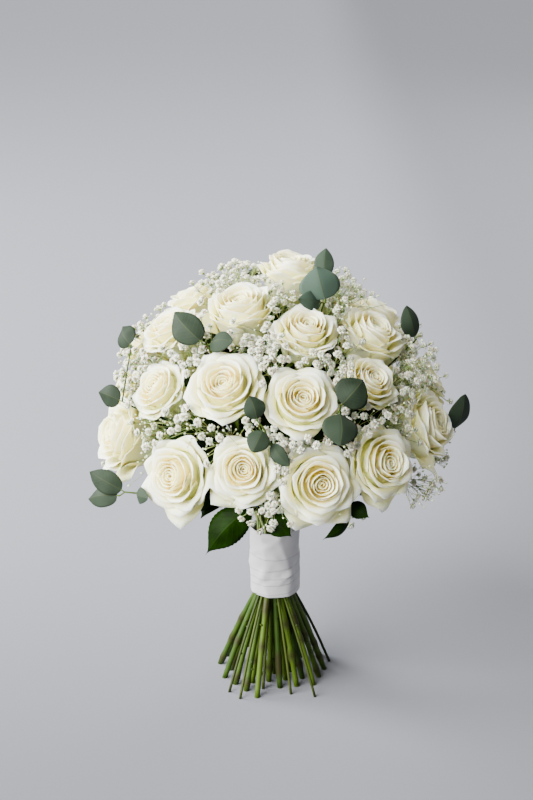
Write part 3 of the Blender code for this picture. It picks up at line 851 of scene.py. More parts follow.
@dataclass(frozen=True)
class PetalFinish:
    """Rose petals: cream, whiter at the rim, greenish at the cup's foot; deep in the heart, gold tone
    and painted shade.
    """

    rim: Colour = (0.96, 0.975, 0.78)
    cream: Colour = (0.955, 0.915, 0.47)
    # Partly the heart's own warmer tone, partly painted shade deep in its folds.
    fold: Colour = (0.96, 0.62, 0.06)
    foot: Colour = (0.64, 0.76, 0.12)
    lip_share: float = 0.8
    foot_share: float = 0.8
    streak_share: float = 0.22
    streak_depth: float = 0.10 * MM
    scatter: Colour = (1.0, 0.75, 0.40)
    scatter_depth: float = 2.2 * MM

    def material(self) -> Material:
        """Paint the petals.

        Returns:
            The material.
        """
        sheet = NodeSheet("rose_petals")
        age, rise, across = sheet.painted("age", "rise", "across")
        heart = 1 - age.step(0.25, 0.90)
        lip = sheet.blend(heart * self.lip_share, self.rim, self.cream)
        upper = sheet.blend(rise.step(0.60, 0.94), self.cream, lip)
        # Low in the heart the colour turns golden: partly the petals' own tone, partly painted shade in
        # the folds.
        lower_tone_and_shade = sheet.blend(heart, self.cream, self.fold)
        colour = sheet.blend(rise.step(0.72, 0.985), lower_tone_and_shade, upper)
        low = (1 - rise.step(0.16, 0.54)) * age.step(0.5, 0.85) * self.foot_share
        colour = sheet.blend(low, colour, self.foot)
        streak = sheet.noise(sheet.grid(across * 26.0, rise * 2.2, age * 40.0), 1.0, 3.0)
        colour = sheet.blend(streak.step(0.35, 0.8) * self.streak_share, colour, self.cream)
        sheet.relief(streak, self.streak_depth, 0.7)
        return sheet.done(colour, Roughness=0.55, Specular_IOR_Level=0.28, Subsurface_Weight=0.65,
                          Subsurface_Radius=self.scatter, Subsurface_Scale=self.scatter_depth)


@dataclass(frozen=True)
class StemFinish:
    """Green stems with paler flecks, browner nodes and pale cut ends."""

    green: Colour = (0.016, 0.042, 0.001)
    olive: Colour = (0.048, 0.088, 0.003)
    brown: Colour = (0.018, 0.012, 0.002)
    pith: Colour = (0.26, 0.30, 0.10)
    fleck_scale: float = 90.0
    grain_scale: float = 700.0
    grain_depth: float = 0.12 * MM

    def material(self) -> Material:
        """Paint the stems.

        Returns:
            The material.
        """
        sheet = NodeSheet("green_stems")
        lot, node, cut = sheet.painted("lot", "node", "cut")
        at = sheet.place()
        mottle = sheet.noise(at, self.fleck_scale, 4.0)
        colour = sheet.blend((mottle * 0.6 + lot * 0.6).step(0.30, 0.85), self.green, self.olive)
        colour = sheet.blend(node * 0.8, colour, self.brown)
        colour = sheet.blend(cut, colour, self.pith)
        sheet.relief(sheet.noise(at, self.grain_scale), self.grain_depth, 0.6)
        return sheet.done(colour, Roughness=0.5, Specular_IOR_Level=0.22)


@dataclass(frozen=True)
class EucalyptusFinish:
    """Silver-green leaves with a powdery bloom, pale ribs, fine branching veins and some painted light.
    """

    blade: Colour = (0.0026, 0.0062, 0.0018)
    powder: Colour = (0.022, 0.035, 0.0215)
    # Painted light: the paler colour of the leaves that face the light.
    painted_light: Colour = (0.072, 0.120, 0.092)
    rib: Colour = (0.050, 0.058, 0.020)
    edge: Colour = (0.045, 0.040, 0.014)
    cloud_scale: float = 55.0
    vein_share: float = 0.13
    rib_share: float = 0.45
    edge_share: float = 0.6
    vein_depth: float = 0.18 * MM

    def material(self) -> Material:
        """Paint the leaves.

        Returns:
            The material.
        """
        sheet = NodeSheet("silver_leaf")
        [shade] = sheet.painted("lot")
        out, vein = sheet.veins(0.28, 62.0, 0.80, 0.2)
        vein = vein * self.vein_share
        cloud = sheet.noise(sheet.place(), self.cloud_scale, 3.0)
        colour = sheet.blend((cloud * 0.7 + shade * 0.75).step(0.25, 0.95), self.blade, self.powder)
        # Painted light: a leaf whose tone is lifted past 1 is painted paler.
        colour = sheet.blend((shade - 1.0) * 0.5, colour, self.painted_light)
        colour = sheet.blend(vein, colour, self.rib)
        colour = sheet.blend((1 - out.step(0.015, 0.05)) * self.rib_share, colour, self.rib)
        colour = sheet.blend(out.step(0.955, 1.0) * self.edge_share, colour, self.edge)
        sheet.relief(1 - vein * 1.2 - (1 - out.step(0.0, 0.06)), self.vein_depth, 0.7)
        return sheet.done(colour, Roughness=0.62, Specular_IOR_Level=0.08)


@dataclass(frozen=True)
class DarkLeafFinish:
    """Deep green rose leaves with sunk veins."""

    blade: Colour = (0.0022, 0.0085, 0.0)
    light: Colour = (0.005, 0.020, 0.0)
    rib: Colour = (0.010, 0.026, 0.001)
    cloud_scale: float = 70.0
    vein_share: float = 0.1
    rib_share: float = 0.5
    vein_depth: float = 0.25 * MM

    def material(self) -> Material:
        """Paint the leaves.

        Returns:
            The material.
        """
        sheet = NodeSheet("dark_leaf")
        out, vein = sheet.veins(0.35, 52.0, 0.70, 0.15)
        cloud = sheet.noise(sheet.place(), self.cloud_scale, 3.0)
        colour = sheet.blend(cloud.step(0.35, 0.75), self.blade, self.light)
        colour = sheet.blend(vein * self.vein_share, colour, self.rib)
        colour = sheet.blend((1 - out.step(0.015, 0.05)) * self.rib_share, colour, self.rib)
        sheet.relief(1 - vein * 0.5 - (1 - out.step(0.0, 0.08)), self.vein_depth, 0.7)
        return sheet.done(colour, Roughness=0.45, Specular_IOR_Level=0.03)


class Part(Enum):
    """The parts of a spray, each with the painted value that picks its colour."""

    TWIG = 0.2
    CUP = 0.3
    BUD = 0.52
    PETAL = 1.0


@dataclass(frozen=True)
class FloretFinish:
    """White florets with a green eye, and the thin green twigs and buds."""

    white: Colour = (0.79, 0.79, 0.66)
    eye: Colour = (0.50, 0.56, 0.20)
    twig: Colour = (0.22, 0.30, 0.09)
    bud: Colour = (0.62, 0.70, 0.46)
    speck_scale: float = 900.0
    speck_share: float = 0.3
    speck_depth: float = 0.10 * MM

    def material(self) -> Material:
        """Paint the spray.

        Returns:
            The material.
        """
        sheet = NodeSheet("floret_and_twig")
        part, depth = sheet.painted("part", "depth")
        colour = sheet.ramp(part, [(0.0, self.twig), (0.40, self.twig), (0.45, self.bud),
                                   (0.60, self.bud), (0.65, self.white), (1.0, self.white)])
        colour = sheet.blend(depth, colour, self.eye)
        speck = sheet.noise(sheet.place(), self.speck_scale)
        colour = sheet.blend((speck - 0.45) * self.speck_share, colour, self.bud)
        sheet.relief(speck, self.speck_depth, 0.6)
        return sheet.done(colour, Roughness=0.62, Specular_IOR_Level=0.3, Subsurface_Weight=0.15,
                          Subsurface_Scale=0.8 * MM)


@dataclass(frozen=True)
class SatinFinish:
    """White satin: a smooth sheen, a fine weave, and painted shade along the edges of each turn."""

    white: Colour = (0.455, 0.445, 0.455)
    shade: Colour = (0.385, 0.375, 0.39)
    # Painted shade: the darker colour along both edges of each turn, where the turns overlap.
    edge: Colour = (0.24, 0.24, 0.26)
    weave_share: float = 0.35
    edge_share: float = 0.6
    ribs: float = 2400.0
    weave_depth: float = 0.05 * MM

    def material(self) -> Material:
        """Paint the ribbon.

        Returns:
            The material.
        """
        sheet = NodeSheet("satin_ribbon")
        around, across = sheet.painted("around", "across")
        weave = sheet.noise(sheet.grid(around * 40.0, across * 900.0), 1.0)
        shaded_edge = abs(across).step(0.90, 0.97)
        colour = sheet.blend(weave.step(0.3, 0.8) * self.weave_share, self.white, self.shade)
        # Painted shade: each turn's edges are darkened like the shadow lines between overlapping turns.
        colour = sheet.blend(shaded_edge * self.edge_share, colour, self.edge)
        sheet.feed("Roughness", 0.27 + weave * 0.12 + shaded_edge * 0.12)
        rib = (around * self.ribs).sine() * 0.5 + 0.5
        sheet.relief(weave * 0.7 + rib * 0.3, self.weave_depth, 0.5)
        return sheet.done(colour, Specular_IOR_Level=1.0, IOR=1.75, Anisotropic=0.5)


@dataclass(frozen=True)
class TapeFinish:
    """Waxy green binding tape."""

    green: Colour = (0.10, 0.16, 0.08)
    pale: Colour = (0.16, 0.23, 0.12)
    crease_scale: float = 260.0
    crease_depth: float = 0.2 * MM

    def material(self) -> Material:
        """Paint the tape.

        Returns:
            The material.
        """
        sheet = NodeSheet("waxed_tape")
        crease = sheet.noise(sheet.place(), self.crease_scale, 3.0)
        sheet.relief(crease, self.crease_depth, 0.6)
        return sheet.done(sheet.blend(crease.step(0.4, 0.7), self.green, self.pale), Roughness=0.7)


@dataclass(frozen=True)
class FloorFinish:
    """The plain pale floor, made a little darker towards the front and the right by painted shade."""

    colour: Colour = (0.201, 0.207, 0.230)
    # Painted shade: the darker colour towards the front and the right.
    shade: Colour = (0.143, 0.148, 0.166)

    def material(self) -> Material:
        """Paint the floor.

        Returns:
            The material.
        """
        sheet = NodeSheet("pale_floor")
        at = sheet.node("ShaderNodeSeparateXYZ", {}, {0: sheet.place()})
        # Painted shade: the floor darkens towards the front and the right, as the light falls off.
        back = (1 - at["X"].step(0.12, 0.36)) * at["Y"].step(-0.25, 0.35)
        return sheet.done(sheet.blend(1 - back, self.colour, self.shade), Roughness=0.9,
                          Specular_IOR_Level=0.1)


@dataclass(frozen=True)
class Whorl:
    """One ring of petals, in degrees and in the millimetres of a 54 mm bloom.

    Attributes:
        petals: How many there are.
        radius: The radius at which their walls end and their lips begin.
        height: The height of the middle of their rims.
        half_turn: Half the angle that a petal spans.
        lean: The lean of the wall away from the axis.
        lip: The lip's length.
        curl: How far the lip bends outwards in the middle.
        side_curl: How far it bends at the sides.
        drop: How much lower the rim's corners are.
        point: How far the tip stands out.
        roll: How far the side edges roll outwards.
        ripple: The waves along the rim.
        start: How much of the hidden wall is left out.
    """

    petals: int
    radius: float
    height: float
    half_turn: float
    lean: float
    lip: float
    curl: float
    side_curl: float
    drop: float
    point: float
    roll: float
    ripple: float
    start: float


HEART = (
    Whorl(1, 1.5, 37.0, 168, -8, 1.6, 0, 4, 1.4, 0.0, 0.0, 0.10, 0.70),
    Whorl(2, 3.1, 38.0, 128, -8, 2.0, 6, 10, 2.2, 0.2, 0.1, 0.18, 0.66),
    Whorl(2, 5.0, 38.8, 112, -7, 2.6, 14, 20, 2.8, 0.4, 0.2, 0.24, 0.62),
    Whorl(3, 7.2, 39.6, 88, -4, 3.2, 22, 34, 3.4, 0.6, 0.3, 0.28, 0.58),
)
CUP = (
    Whorl(3, 9.9, 40.4, 80, -1, 3.8, 28, 50, 3.8, 1.0, 0.5, 0.30, 0.50),
    Whorl(4, 13.2, 40.0, 66, 4, 5.2, 46, 90, 5.2, 1.4, 1.0, 0.40, 0.36),
    Whorl(4, 16.4, 37.4, 60, 10, 7.0, 62, 125, 6.8, 2.2, 1.4, 0.50, 0.22),
)
GUARD = (
    Whorl(5, 18.8, 33.8, 53, 17, 9.4, 66, 155, 7.8, 3.6, 1.8, 0.70, 0.05),
    Whorl(5, 20.4, 30.6, 52, 24, 10.6, 58, 175, 8.8, 4.6, 2.2, 0.85, 0.0),
)
DROOP = Whorl(1, 20.6, 26.5, 46, 34, 14.0, 56, 140, 10.0, 7.0, 2.0, 0.90, 0.0)
BED = ((0.1, 32.5), (4.0, 33.0), (8.0, 33.0), (12.0, 31.0), (16.0, 26.5), (19.3, 18.0))


@dataclass
class Rose:
    """One open rose, from its tight heart to its flared guard petals.

    Attributes:
        heart_shift: How far the heart lies from the axis, in a bloom's own millimetres.
        least_play: How much of the chance in height and lean is left in the heart.
        shoulder: How far below the rim the lip begins, as a share of its length.
        rim_power: How suddenly the rim drops towards its corners.
        tip_width: How wide the tip is, as a share of half the petal.
        row_power: How closely the rows of points crowd towards the rim.
        root_width: How wide a petal is at its root, as a share of its full width.
        overlap: How far one side lies outside the other, at the axis and for each millimetre more.
    """

    index: int
    dome: Dome
    finish: Material
    whorls: tuple[Whorl, ...] = HEART + CUP + GUARD
    columns: int = 15
    rows: int = 9
    lip_steps: int = 16
    wall_steps: int = 28
    bed_sides: int = 24
    thickness: float = 0.35 * MM
    heart_shift: float = 1.5
    opening_play: tuple[float, float] = (0.82, 1.14)
    height_play: float = 0.9
    lean_play: float = 3.0
    radius_play: float = 0.7
    skew_play: float = 0.14
    width_play: tuple[float, float] = (0.93, 1.07)
    waves: tuple[float, float] = (3.5, 6.5)
    tilt_play: float = 0.8
    least_play: float = 0.4
    shoulder: float = 0.8
    rim_power: float = 2.4
    tip_width: float = 0.17
    row_power: float = 0.8
    root_width: float = 0.60
    overlap: tuple[float, float] = (0.35, 0.035)

    @staticmethod
    def loosen(radius: float) -> float:
        """How loosely a petal of a whorl's radius lies, 0 in the heart and 1 in the outer whorls."""
        return smooth(radius, 4, 14)

    def bed(self) -> np.ndarray:
        """The floor between the petals, where they press together, as rings of points."""
        rim = circle(self.bed_sides)
        return np.array([np.column_stack([rim * r, np.full(self.bed_sides, z)]) for r, z in BED])

    def wall(self, shoulder: np.ndarray, lean: float, height: float) -> np.ndarray:
        """The curve that a petal's wall rises along, from the foot of the cup to the shoulder.

        Args:
            shoulder: Its end, as radius and height.
            lean: Its lean away from the axis there.
            height: The height of the petal's rim.

        Returns:
            The radius and height of its points.
        """
        root = np.array([min(3.0, shoulder[0] * 0.5), 1.0])
        low = np.array([shoulder[0] * 0.78, 0.8])
        high = shoulder - np.array([math.sin(lean), math.cos(lean)]) * height * 0.34
        t = np.linspace(0, 1, self.wall_steps)[:, None]
        return root * (1 - t)**3 + low * 3 * (1 - t)**2 * t + high * 3 * (1 - t) * t**2 + shoulder * t**3

    def lip(self, whorl: Whorl, shoulder: np.ndarray, lean: float, open_by: float,
            out: np.ndarray) -> tuple[np.ndarray, np.ndarray, float]:
        """The curves that a petal's lip bends outwards along, one for each column.

        Args:
            whorl: The ring that it belongs to.
            shoulder: Where it begins, as radius and height.
            lean: The wall's lean there.
            open_by: How far it has opened.
            out: How far each column is from the petal's middle.

        Returns:
            The radii and the heights of its points, and the length of a step.
        """
        reach = whorl.lip + whorl.point
        length = reach / (self.lip_steps - 1)
        sides = smooth(out, 0.12, 0.66)
        curl = np.radians(open_by * (whorl.curl + (whorl.side_curl - whorl.curl) * sides))
        travel = np.linspace(0, 1, self.lip_steps)[:, None] * reach / whorl.lip
        bend = lean + curl[None, :] * travel.clip(0, 1.25)**1.5
        radii = shoulder[0] + np.cumsum(np.sin(bend), 0) * length
        heights = shoulder[1] + np.cumsum(np.cos(bend), 0) * length
        return radii, heights, length

    def petal(self, whorl: Whorl, turn: float, openness: float,
              rng: random.Random) -> tuple[np.ndarray, np.ndarray, np.ndarray]:
        """One petal in the bloom's own millimetres.

        Args:
            whorl: The ring that it belongs to.
            turn: Its angle round the bloom.
            openness: How far it has opened, 1 being wide open.
            rng: The rose's own chance.

        Returns:
            The grid of points, and the rise and the place across of each.
        """
        uneven = self.loosen(whorl.radius)
        opened = 1 - (1 - openness) * smooth(whorl.radius, 8, 16)
        open_by = rng.uniform(*self.opening_play) * opened
        play = self.least_play + uneven
        height = whorl.height + rng.uniform(-self.height_play, self.height_play) * play
        lean = math.radians(whorl.lean * opened + rng.uniform(-self.lean_play, self.lean_play) * play)
        radius = whorl.radius + rng.uniform(-self.radius_play, self.radius_play) * uneven
        skew = rng.uniform(-self.skew_play, self.skew_play)
        u = np.linspace(-1, 1, self.columns)
        out = np.abs(u)
        shoulder = np.array([radius, height - whorl.lip * self.shoulder])
        wall = self.wall(shoulder, lean, height)
        wall_arc = np.concatenate([[0], np.cumsum(np.linalg.norm(np.diff(wall, axis=0), axis=1))])
        lip_r, lip_z, length = self.lip(whorl, shoulder, lean, open_by, out)
        arc = np.concatenate([wall_arc, wall_arc[-1] + np.arange(1, self.lip_steps + 1) * length])
        top = wall_arc[-1] + whorl.lip - whorl.drop * np.abs(u + skew * (1 - out))**self.rim_power
        top = top + whorl.point * np.exp(-np.abs(u - skew) / self.tip_width)
        bottom = wall_arc[-1] * whorl.start
        rows = self.rows if whorl.radius > 8 else self.rows - 2
        rise = np.linspace(0, 1, rows)[:, None]**self.row_power
        at = bottom + (top[None, :] - bottom) * rise
        r = np.empty_like(at)
        z = np.empty_like(at)
        for c in range(self.columns):
            r[:, c] = np.interp(at[:, c], arc, np.concatenate([wall[:, 0], lip_r[:, c]]))
            z[:, c] = np.interp(at[:, c], arc, np.concatenate([wall[:, 1], lip_z[:, c]]))
        whole = at / arc[-1]
        half = math.radians(whorl.half_turn) * rng.uniform(*self.width_play)
        spread = self.root_width + (1 - self.root_width) * smooth(whole, 0.0, 0.55)
        angle = turn + half * u[None, :] * spread
        edge = smooth(out, 0.55, 1.0)[None, :] * smooth(whole, 0.5, 1.0)
        least, more = self.overlap
        r = r + whorl.roll * edge + (least + whorl.radius * more) * u[None, :]
        wave = u[None, :] * rng.uniform(*self.waves) + rng.uniform(0, 6)
        rim = smooth(whole, 0.6, 1.0)
        r = r + whorl.ripple * np.sin(wave) * rim
        tilt = rng.uniform(-self.tilt_play, self.tilt_play)
        z = z + whorl.ripple * 0.8 * np.cos(wave * 0.8) * rim + tilt * u[None, :] * rim
        grid = np.stack([r * np.cos(angle), r * np.sin(angle), z], -1)
        return grid, whole, np.broadcast_to(u[None, :], whole.shape)

    def build(self) -> tuple[Object, MeshDraft]:
        """Make the rose.

        Returns:
            The piece, and the draft of its petals in place.
        """
        rng = random.Random(f"rose {self.index}")
        scale = ROSES[self.index][2] / BLOOM_WIDTH * MM
        foot, axis = self.dome.bloom(self.index)
        stand = stand_along(axis)
        draft = MeshDraft("age", "rise", "across")
        first = rng.uniform(0, math.tau)
        side = rng.uniform(0, math.tau)
        away = np.array([math.cos(side), math.sin(side), 0.0]) * self.heart_shift
        outermost = self.whorls[-1].radius
        for whorl in self.whorls:
            shift = away * (1 - self.loosen(whorl.radius))
            spacing = math.tau / whorl.petals
            first += spacing / 2 + rng.uniform(0.2, 0.9)
            for k in range(whorl.petals):
                turn = first + spacing * (k + rng.uniform(-0.10, 0.10))
                grid, rise, across = self.petal(whorl, turn, OPENNESS.get(self.index, 1.0), rng)
                placed = (grid + shift) @ stand.T * scale + np.array(foot)
                draft.add_grid(placed, age=whorl.radius / outermost, rise=rise, across=across)
        for degrees in DROOPING.get(self.index, ()):
            grid, rise, across = self.petal(DROOP, math.radians(degrees), 1.0, rng)
            draft.add_grid(grid @ stand.T * scale + np.array(foot), age=1.0, rise=rise, across=across)
        bed = self.bed() @ stand.T * scale + np.array(foot)
        age = np.repeat(np.array(BED)[:, 0] / outermost, self.bed_sides)
        draft.add_grid(bed, closed=True, age=age, rise=0.3)
        name = f"rose_{self.index + 1:02d}"
        node = f"rose_bloom_{self.index + 1:02d}"
        return draft.piece(name, node, "petals", [self.finish], self.thickness), draft


@dataclass(frozen=True)
class LeafForm:
    """A leaf's outline and bend.

    Attributes:
        widest: Where it is widest, as a share of its length.
        tip: How finely its tip is drawn out.
        arch: How far its rib arches, as a share of its length.
        cup: How far its sides lift, as a share of its width.
        teeth: How many teeth its edge has.
        tooth: How deep a tooth is, as a share of the width.
        wave: How far the edge waves, as a share of the width.
        play: How far the rib sways and the blade twists.
        ends: The width left at its base and tip, as shares of the most.
    """

    widest: float
    tip: float
    arch: float
    cup: float
    teeth: int
    rows: int
    columns: int
    tooth: float = 0.055
    wave: float = 0.022
    play: tuple[float, float] = (0.05, 0.10)
    ends: tuple[float, float] = (0.05, 0.01)

    def half_width(self, t: np.ndarray) -> np.ndarray:
        """Half the leaf's width at a share of its length, as a share of the most."""
        bent = t ** (math.log(0.5) / math.log(self.widest))
        return np.sin(math.pi * bent)**(0.62 + self.tip * t**2)

    def grid(self, base: Vector, tip: Vector, width: float, facing: Vector,
             rng: random.Random) -> tuple[np.ndarray, np.ndarray, np.ndarray]:
        """The leaf's points.

        Args:
            base: Where its blade starts.
            tip: Where it ends.
            width: Its width.
            facing: The way that its face looks.
            rng: The leaf's own chance.

        Returns:
            The grid, and the rise and the place across of each point.
        """
        along = tip - base
        side = along.cross(facing).normalized()
        face = side.cross(along).normalized()
        if face.dot(facing) < 0:
            face = -face
        t = np.linspace(0, 1, self.rows)
        u = np.linspace(-1, 1, self.columns)
        half = self.half_width(t)
        half[[0, -1]] = self.ends
        if self.teeth:
            saw = (t * self.teeth) % 1.0
            half = half * (1 + self.tooth * (saw - 0.5) * (half > 0.1))
        lift = self.arch * np.sin(math.pi * np.clip(t * 1.08, 0, 1)) * along.length
        sway = self.play[0] * along.length * rng.uniform(-1, 1) * np.sin(math.pi * t)
        rib = np.array(base)[None, :] + t[:, None] * np.array(along)[None, :]
        rib = rib + lift[:, None] * np.array(face)[None, :] + sway[:, None] * np.array(side)[None, :]
        spread = u[None, :] * half[:, None] * width * 0.5
        wave = np.sin(t * rng.uniform(7, 11) + rng.uniform(0, 6))[:, None] * u[None, :]**2
        twist = self.play[1] * rng.uniform(-1, 1) * t[:, None] * u[None, :]
        fold = self.cup * (1 - np.abs(u)[None, :]**1.15) - self.cup - self.wave * wave + twist
        fold = fold * half[:, None] * width
        points = rib[:, None, :] + spread[..., None] * np.array(side) + fold[..., None] * np.array(face)
        return points, np.repeat(t[:, None], self.columns, 1), np.repeat(u[None, :], self.rows, 0)


SILVER_LEAF = LeafForm(0.43, 0.16, 0.12, 0.15, 0, 25, 13)
DARK_LEAF = LeafForm(0.42, 1.15, 0.12, 0.16, 15, 61, 11)
INNER_LEAF = LeafForm(0.42, 0.9, 0.12, 0.14, 0, 11, 7)


class Foliage(Enum):
    """The kinds of leafy stem.

    Each has its leaf's form, the first word of its piece's name, that of its node's name and its
    slot, and whether the stem reaches the foot.
    """

    SILVER = (SILVER_LEAF, "sprig", "eucalyptus", True)
    DARK = (DARK_LEAF, "dark_leaves", "leaves", False)


@dataclass
class LeafyStem:
    """A thin stem through the blooms with leaves at its end."""

    kind: Foliage
    spot: str
    leaves: tuple[Leaf, ...]
    place: Vector
    dome: Dome
    binding: Binding
    blade_finish: Material
    stem_finish: Material
    sides: int = 8
    taper: float = 0.55
    petiole: float = 0.10
    petiole_sides: int = 6
    petiole_radius: float = 0.45
    thickness: float = 0.5 * MM

    def build(self, room: Room) -> tuple[Object, MeshDraft]:
        """Make the stem and its leaves.

        Args:
            room: What the stem keeps clear of.

        Returns:
            The piece and its draft.
        """
        form, title, slot, to_foot = self.kind.value
        name = f"{title}_{self.spot}"
        rng = random.Random(name)
        dome = self.dome
        radius = self.binding.sprig_radius
        bases = [dome.point(*base) for base, *_ in self.leaves]
        heading = (bases[0] - dome.aim).normalized()
        last = (bases[-1] - (bases[-2] if len(bases) > 1 else dome.aim)).normalized()
        ahead = [*bases[1:], bases[-1] + last * radius * 1.5]
        path = self.binding.clear_path(self.place, bases[0], heading, to_foot, radius, ahead, room)
        radii = (1 - self.taper * np.linspace(0, 1, len(path))**2) * radius * 1.02
        if to_foot:
            path, radii = self.binding.bow_foot(path, radii)
        draft = MeshDraft(*LEAFY_VALUES)
        draft.add_tube(path, radii, self.sides, flat_start=to_foot, finish=1, lot=rng.random(),
                       node=np.linspace(0.75, 0.1, len(path)))
        for (_, tip, width, facing), base in zip(self.leaves, bases):
            end = dome.point(*tip)
            petiole = self.petiole * (end - base).length
            start = base + (end - base).normalized() * petiole
            points, rise, across = form.grid(start, end, width * MM, dome.outward(*facing), rng)
            # Each leaf's tone is its own, with painted light added for a sprig that faces the light.
            draft.add_sheet(points, self.thickness, rise=rise, across=across, finish=0,
                            lot=rng.random() + PAINTED_LIGHT_LIFT.get(name, 0.0))
            stalk = [base, base.lerp(start, 0.6), start + (end - start) * 0.03]
            draft.add_tube(stalk, radius * self.petiole_radius, self.petiole_sides, finish=1, lot=0.8,
                           node=0.15)
        finishes = [self.blade_finish, self.stem_finish]
        return draft.piece(name, f"{slot}_{self.spot}", slot, finishes), draft


@dataclass
class RoseStems:
    """All the rose stems: nodes and thorn stubs at the foot, sepals and leaves in the dome.

    Attributes:
        slimness: A stem's radius, as a share of its solid's.
        knuckle: How much thicker it is at a node.
        cut_rings: The rings of a cut end, as share of its radius, height in millimetres and
            how pale they are.
        thorn: The radii of a thorn's stub from root to tip, in millimetres.
        hip: The radii of the swollen hip under a bloom from the stem up.
        sepal_reach: How far out a sepal starts and ends, in millimetres.
        sepal_drop: How far its start lies below the foot, how steeply it goes on, and its droop.
        leaf_reach: How far from the dome's centre a leaf inside it may end.
        leaf_floor: How low it may end.
    """

    places: list[Vector]
    dome: Dome
    binding: Binding
    stem_finish: Material
    leaf_finish: Material
    sides: int = 10
    steps: int = 16
    slimness: float = 0.94
    knuckle: float = 1.28
    cut_rings: tuple = ((1.0, 0.5, 0.2), (1.0, 0.0, 0.5), (0.78, 0.0, 1.0), (0.30, 0.0, 1.0))
    thorn: tuple[float, ...] = (1.5, 1.0, 0.3)
    thorn_length: tuple[float, float] = (0.8, 2.6)
    thorn_sides: int = 6
    hip: tuple[float, ...] = (2.5, 3.4, 4.2, 4.0)
    hip_length: float = 8 * MM
    hip_sides: int = 12
    sepals: int = 5
    sepal_grid: tuple[int, int] = (8, 5)
    sepal_width: float = 2.6
    sepal_reach: tuple[float, float] = (3.4, 12.5)
    sepal_drop: tuple[float, float, float] = (1.0, 2.0, 8.0)
    leaves: int = 6
    leaf_width: float = 28 * MM
    leaf_length: tuple[float, float] = (34, 46)
    leaf_reach: float = 127 * MM
    leaf_floor: float = 178 * MM
    thickness: float = 0.5 * MM

    def __post_init__(self) -> None:
        """Start the mesh."""
        self.draft = MeshDraft(*LEAFY_VALUES)

    def build(self) -> Object:
        """Make the stems.

        Returns:
            The piece.
        """
        for index, place in enumerate(self.places):
            self.add_stem(index, place)
        finishes = [self.stem_finish, self.leaf_finish]
        return self.draft.piece("cut_stems", "rose_stems", "stems", finishes)

    def add_stem(self, index: int, place: Vector) -> None:
        """Add one stem with what it bears.

        Args:
            index: The rose's place in ROSES.
            place: The stem's place in the bundle.
        """
        rng = random.Random(f"stem {index}")
        foot, axis = self.dome.bloom(index)
        end = foot - axis * (GAP + self.hip_length)
        path = self.binding.path(place, end, axis, self.steps, True, (Vector(), Vector()))
        radii = np.full(len(path), self.binding.rose_radius * self.slimness)
        path, radii = self.binding.bow_foot(path, radii)
        lot = rng.random()
        node = np.zeros(len(path))
        for _ in range(rng.randint(1, 3)):
            joint = rng.randint(1, self.binding.foot_steps - 1)
            radii[joint] *= self.knuckle
            node[joint] = 1.0
        self.draft.add_tube(path, radii, self.sides, flat_start=True, lot=lot, node=node)
        self.add_cut_end(path[0], radii[0], lot)
        for _ in range(rng.randint(2, 4)):
            self.add_thorn(path, lot, rng)
        self.add_calyx(foot, axis, end, lot, rng)
        self.add_leaves(path, axis, rng)

    def add_cut_end(self, centre: Vector, radius: float, lot: float) -> None:
        """Add the pale cut face with its thin rim of bark.

        Args:
            centre: The middle of the cut.
            radius: The stem's radius there.
            lot: The stem's own tone.
        """
        rim = circle(self.sides) * radius
        rings = [np.column_stack([rim * share, np.full(self.sides, height * MM)]) + np.array(centre)
                 for share, height, _ in self.cut_rings]
        cut = np.repeat([pale for *_, pale in self.cut_rings], self.sides)
        first = self.draft.count
        self.draft.add_grid(np.array(rings)[::-1], closed=True, cut=cut[::-1], lot=lot)
        self.draft.faces.append([first + i for i in range(self.sides)][::-1])

    def add_thorn(self, path: list[Vector], lot: float, rng: random.Random) -> None:
        """Add the stub of a thorn or side shoot on the bare foot of a stem.

        Args:
            path: The stem's centre line.
            lot: The stem's own tone.
            rng: The stem's own chance.
        """
        at = rng.uniform(2, self.binding.foot_steps - 1)
        k = int(at)
        root = path[k].lerp(path[k + 1], at - k)
        turn = rng.uniform(0, math.tau)
        out = Vector((math.cos(turn), math.sin(turn), 0.5)).normalized()
        start = root + out * self.binding.rose_radius * 0.6
        tip = root + out * (self.binding.rose_radius + rng.uniform(*self.thorn_length) * MM)
        self.draft.add_tube([start, start.lerp(tip, 0.5), tip], np.array(self.thorn) * MM,
                            self.thorn_sides, lot=lot, node=0.5)

    def add_calyx(self, foot: Vector, axis: Vector, end: Vector, lot: float, rng: random.Random) -> None:
        """Add the swollen hip under a bloom and its drooping sepals.

        Args:
            foot: The bloom's foot.
            axis: The way that the bloom opens.
            end: The stem's end.
            lot: The stem's own tone.
            rng: The stem's own chance.
        """
        hip = [end, end.lerp(foot, 0.35), end.lerp(foot, 0.7), foot - axis * GAP]
        self.draft.add_tube(hip, np.array(self.hip) * MM, self.hip_sides, lot=lot)
        t = np.linspace(0, 1, self.sepal_grid[0])[:, None]
        u = np.linspace(-1, 1, self.sepal_grid[1])[None, :]
        near, far = self.sepal_reach
        low, slope, droop = self.sepal_drop
        half = self.sepal_width * (1 - t)**0.8 + 0.1
        x = np.broadcast_to(near + far * np.sin(t * 1.5), self.sepal_grid)
        y = half * u
        z = -low - slope * t - droop * t**2.2 + 0.5 * np.abs(u) * half
        first = rng.uniform(0, math.tau)
        for k in range(self.sepals):
            turn = first + math.tau * k / self.sepals
            spun = np.stack([x * math.cos(turn) - y * math.sin(turn),
                             x * math.sin(turn) + y * math.cos(turn), z], -1)
            placed = spun @ stand_along(axis).T * MM + np.array(foot)
            self.draft.add_sheet(placed, self.thickness, lot=lot)

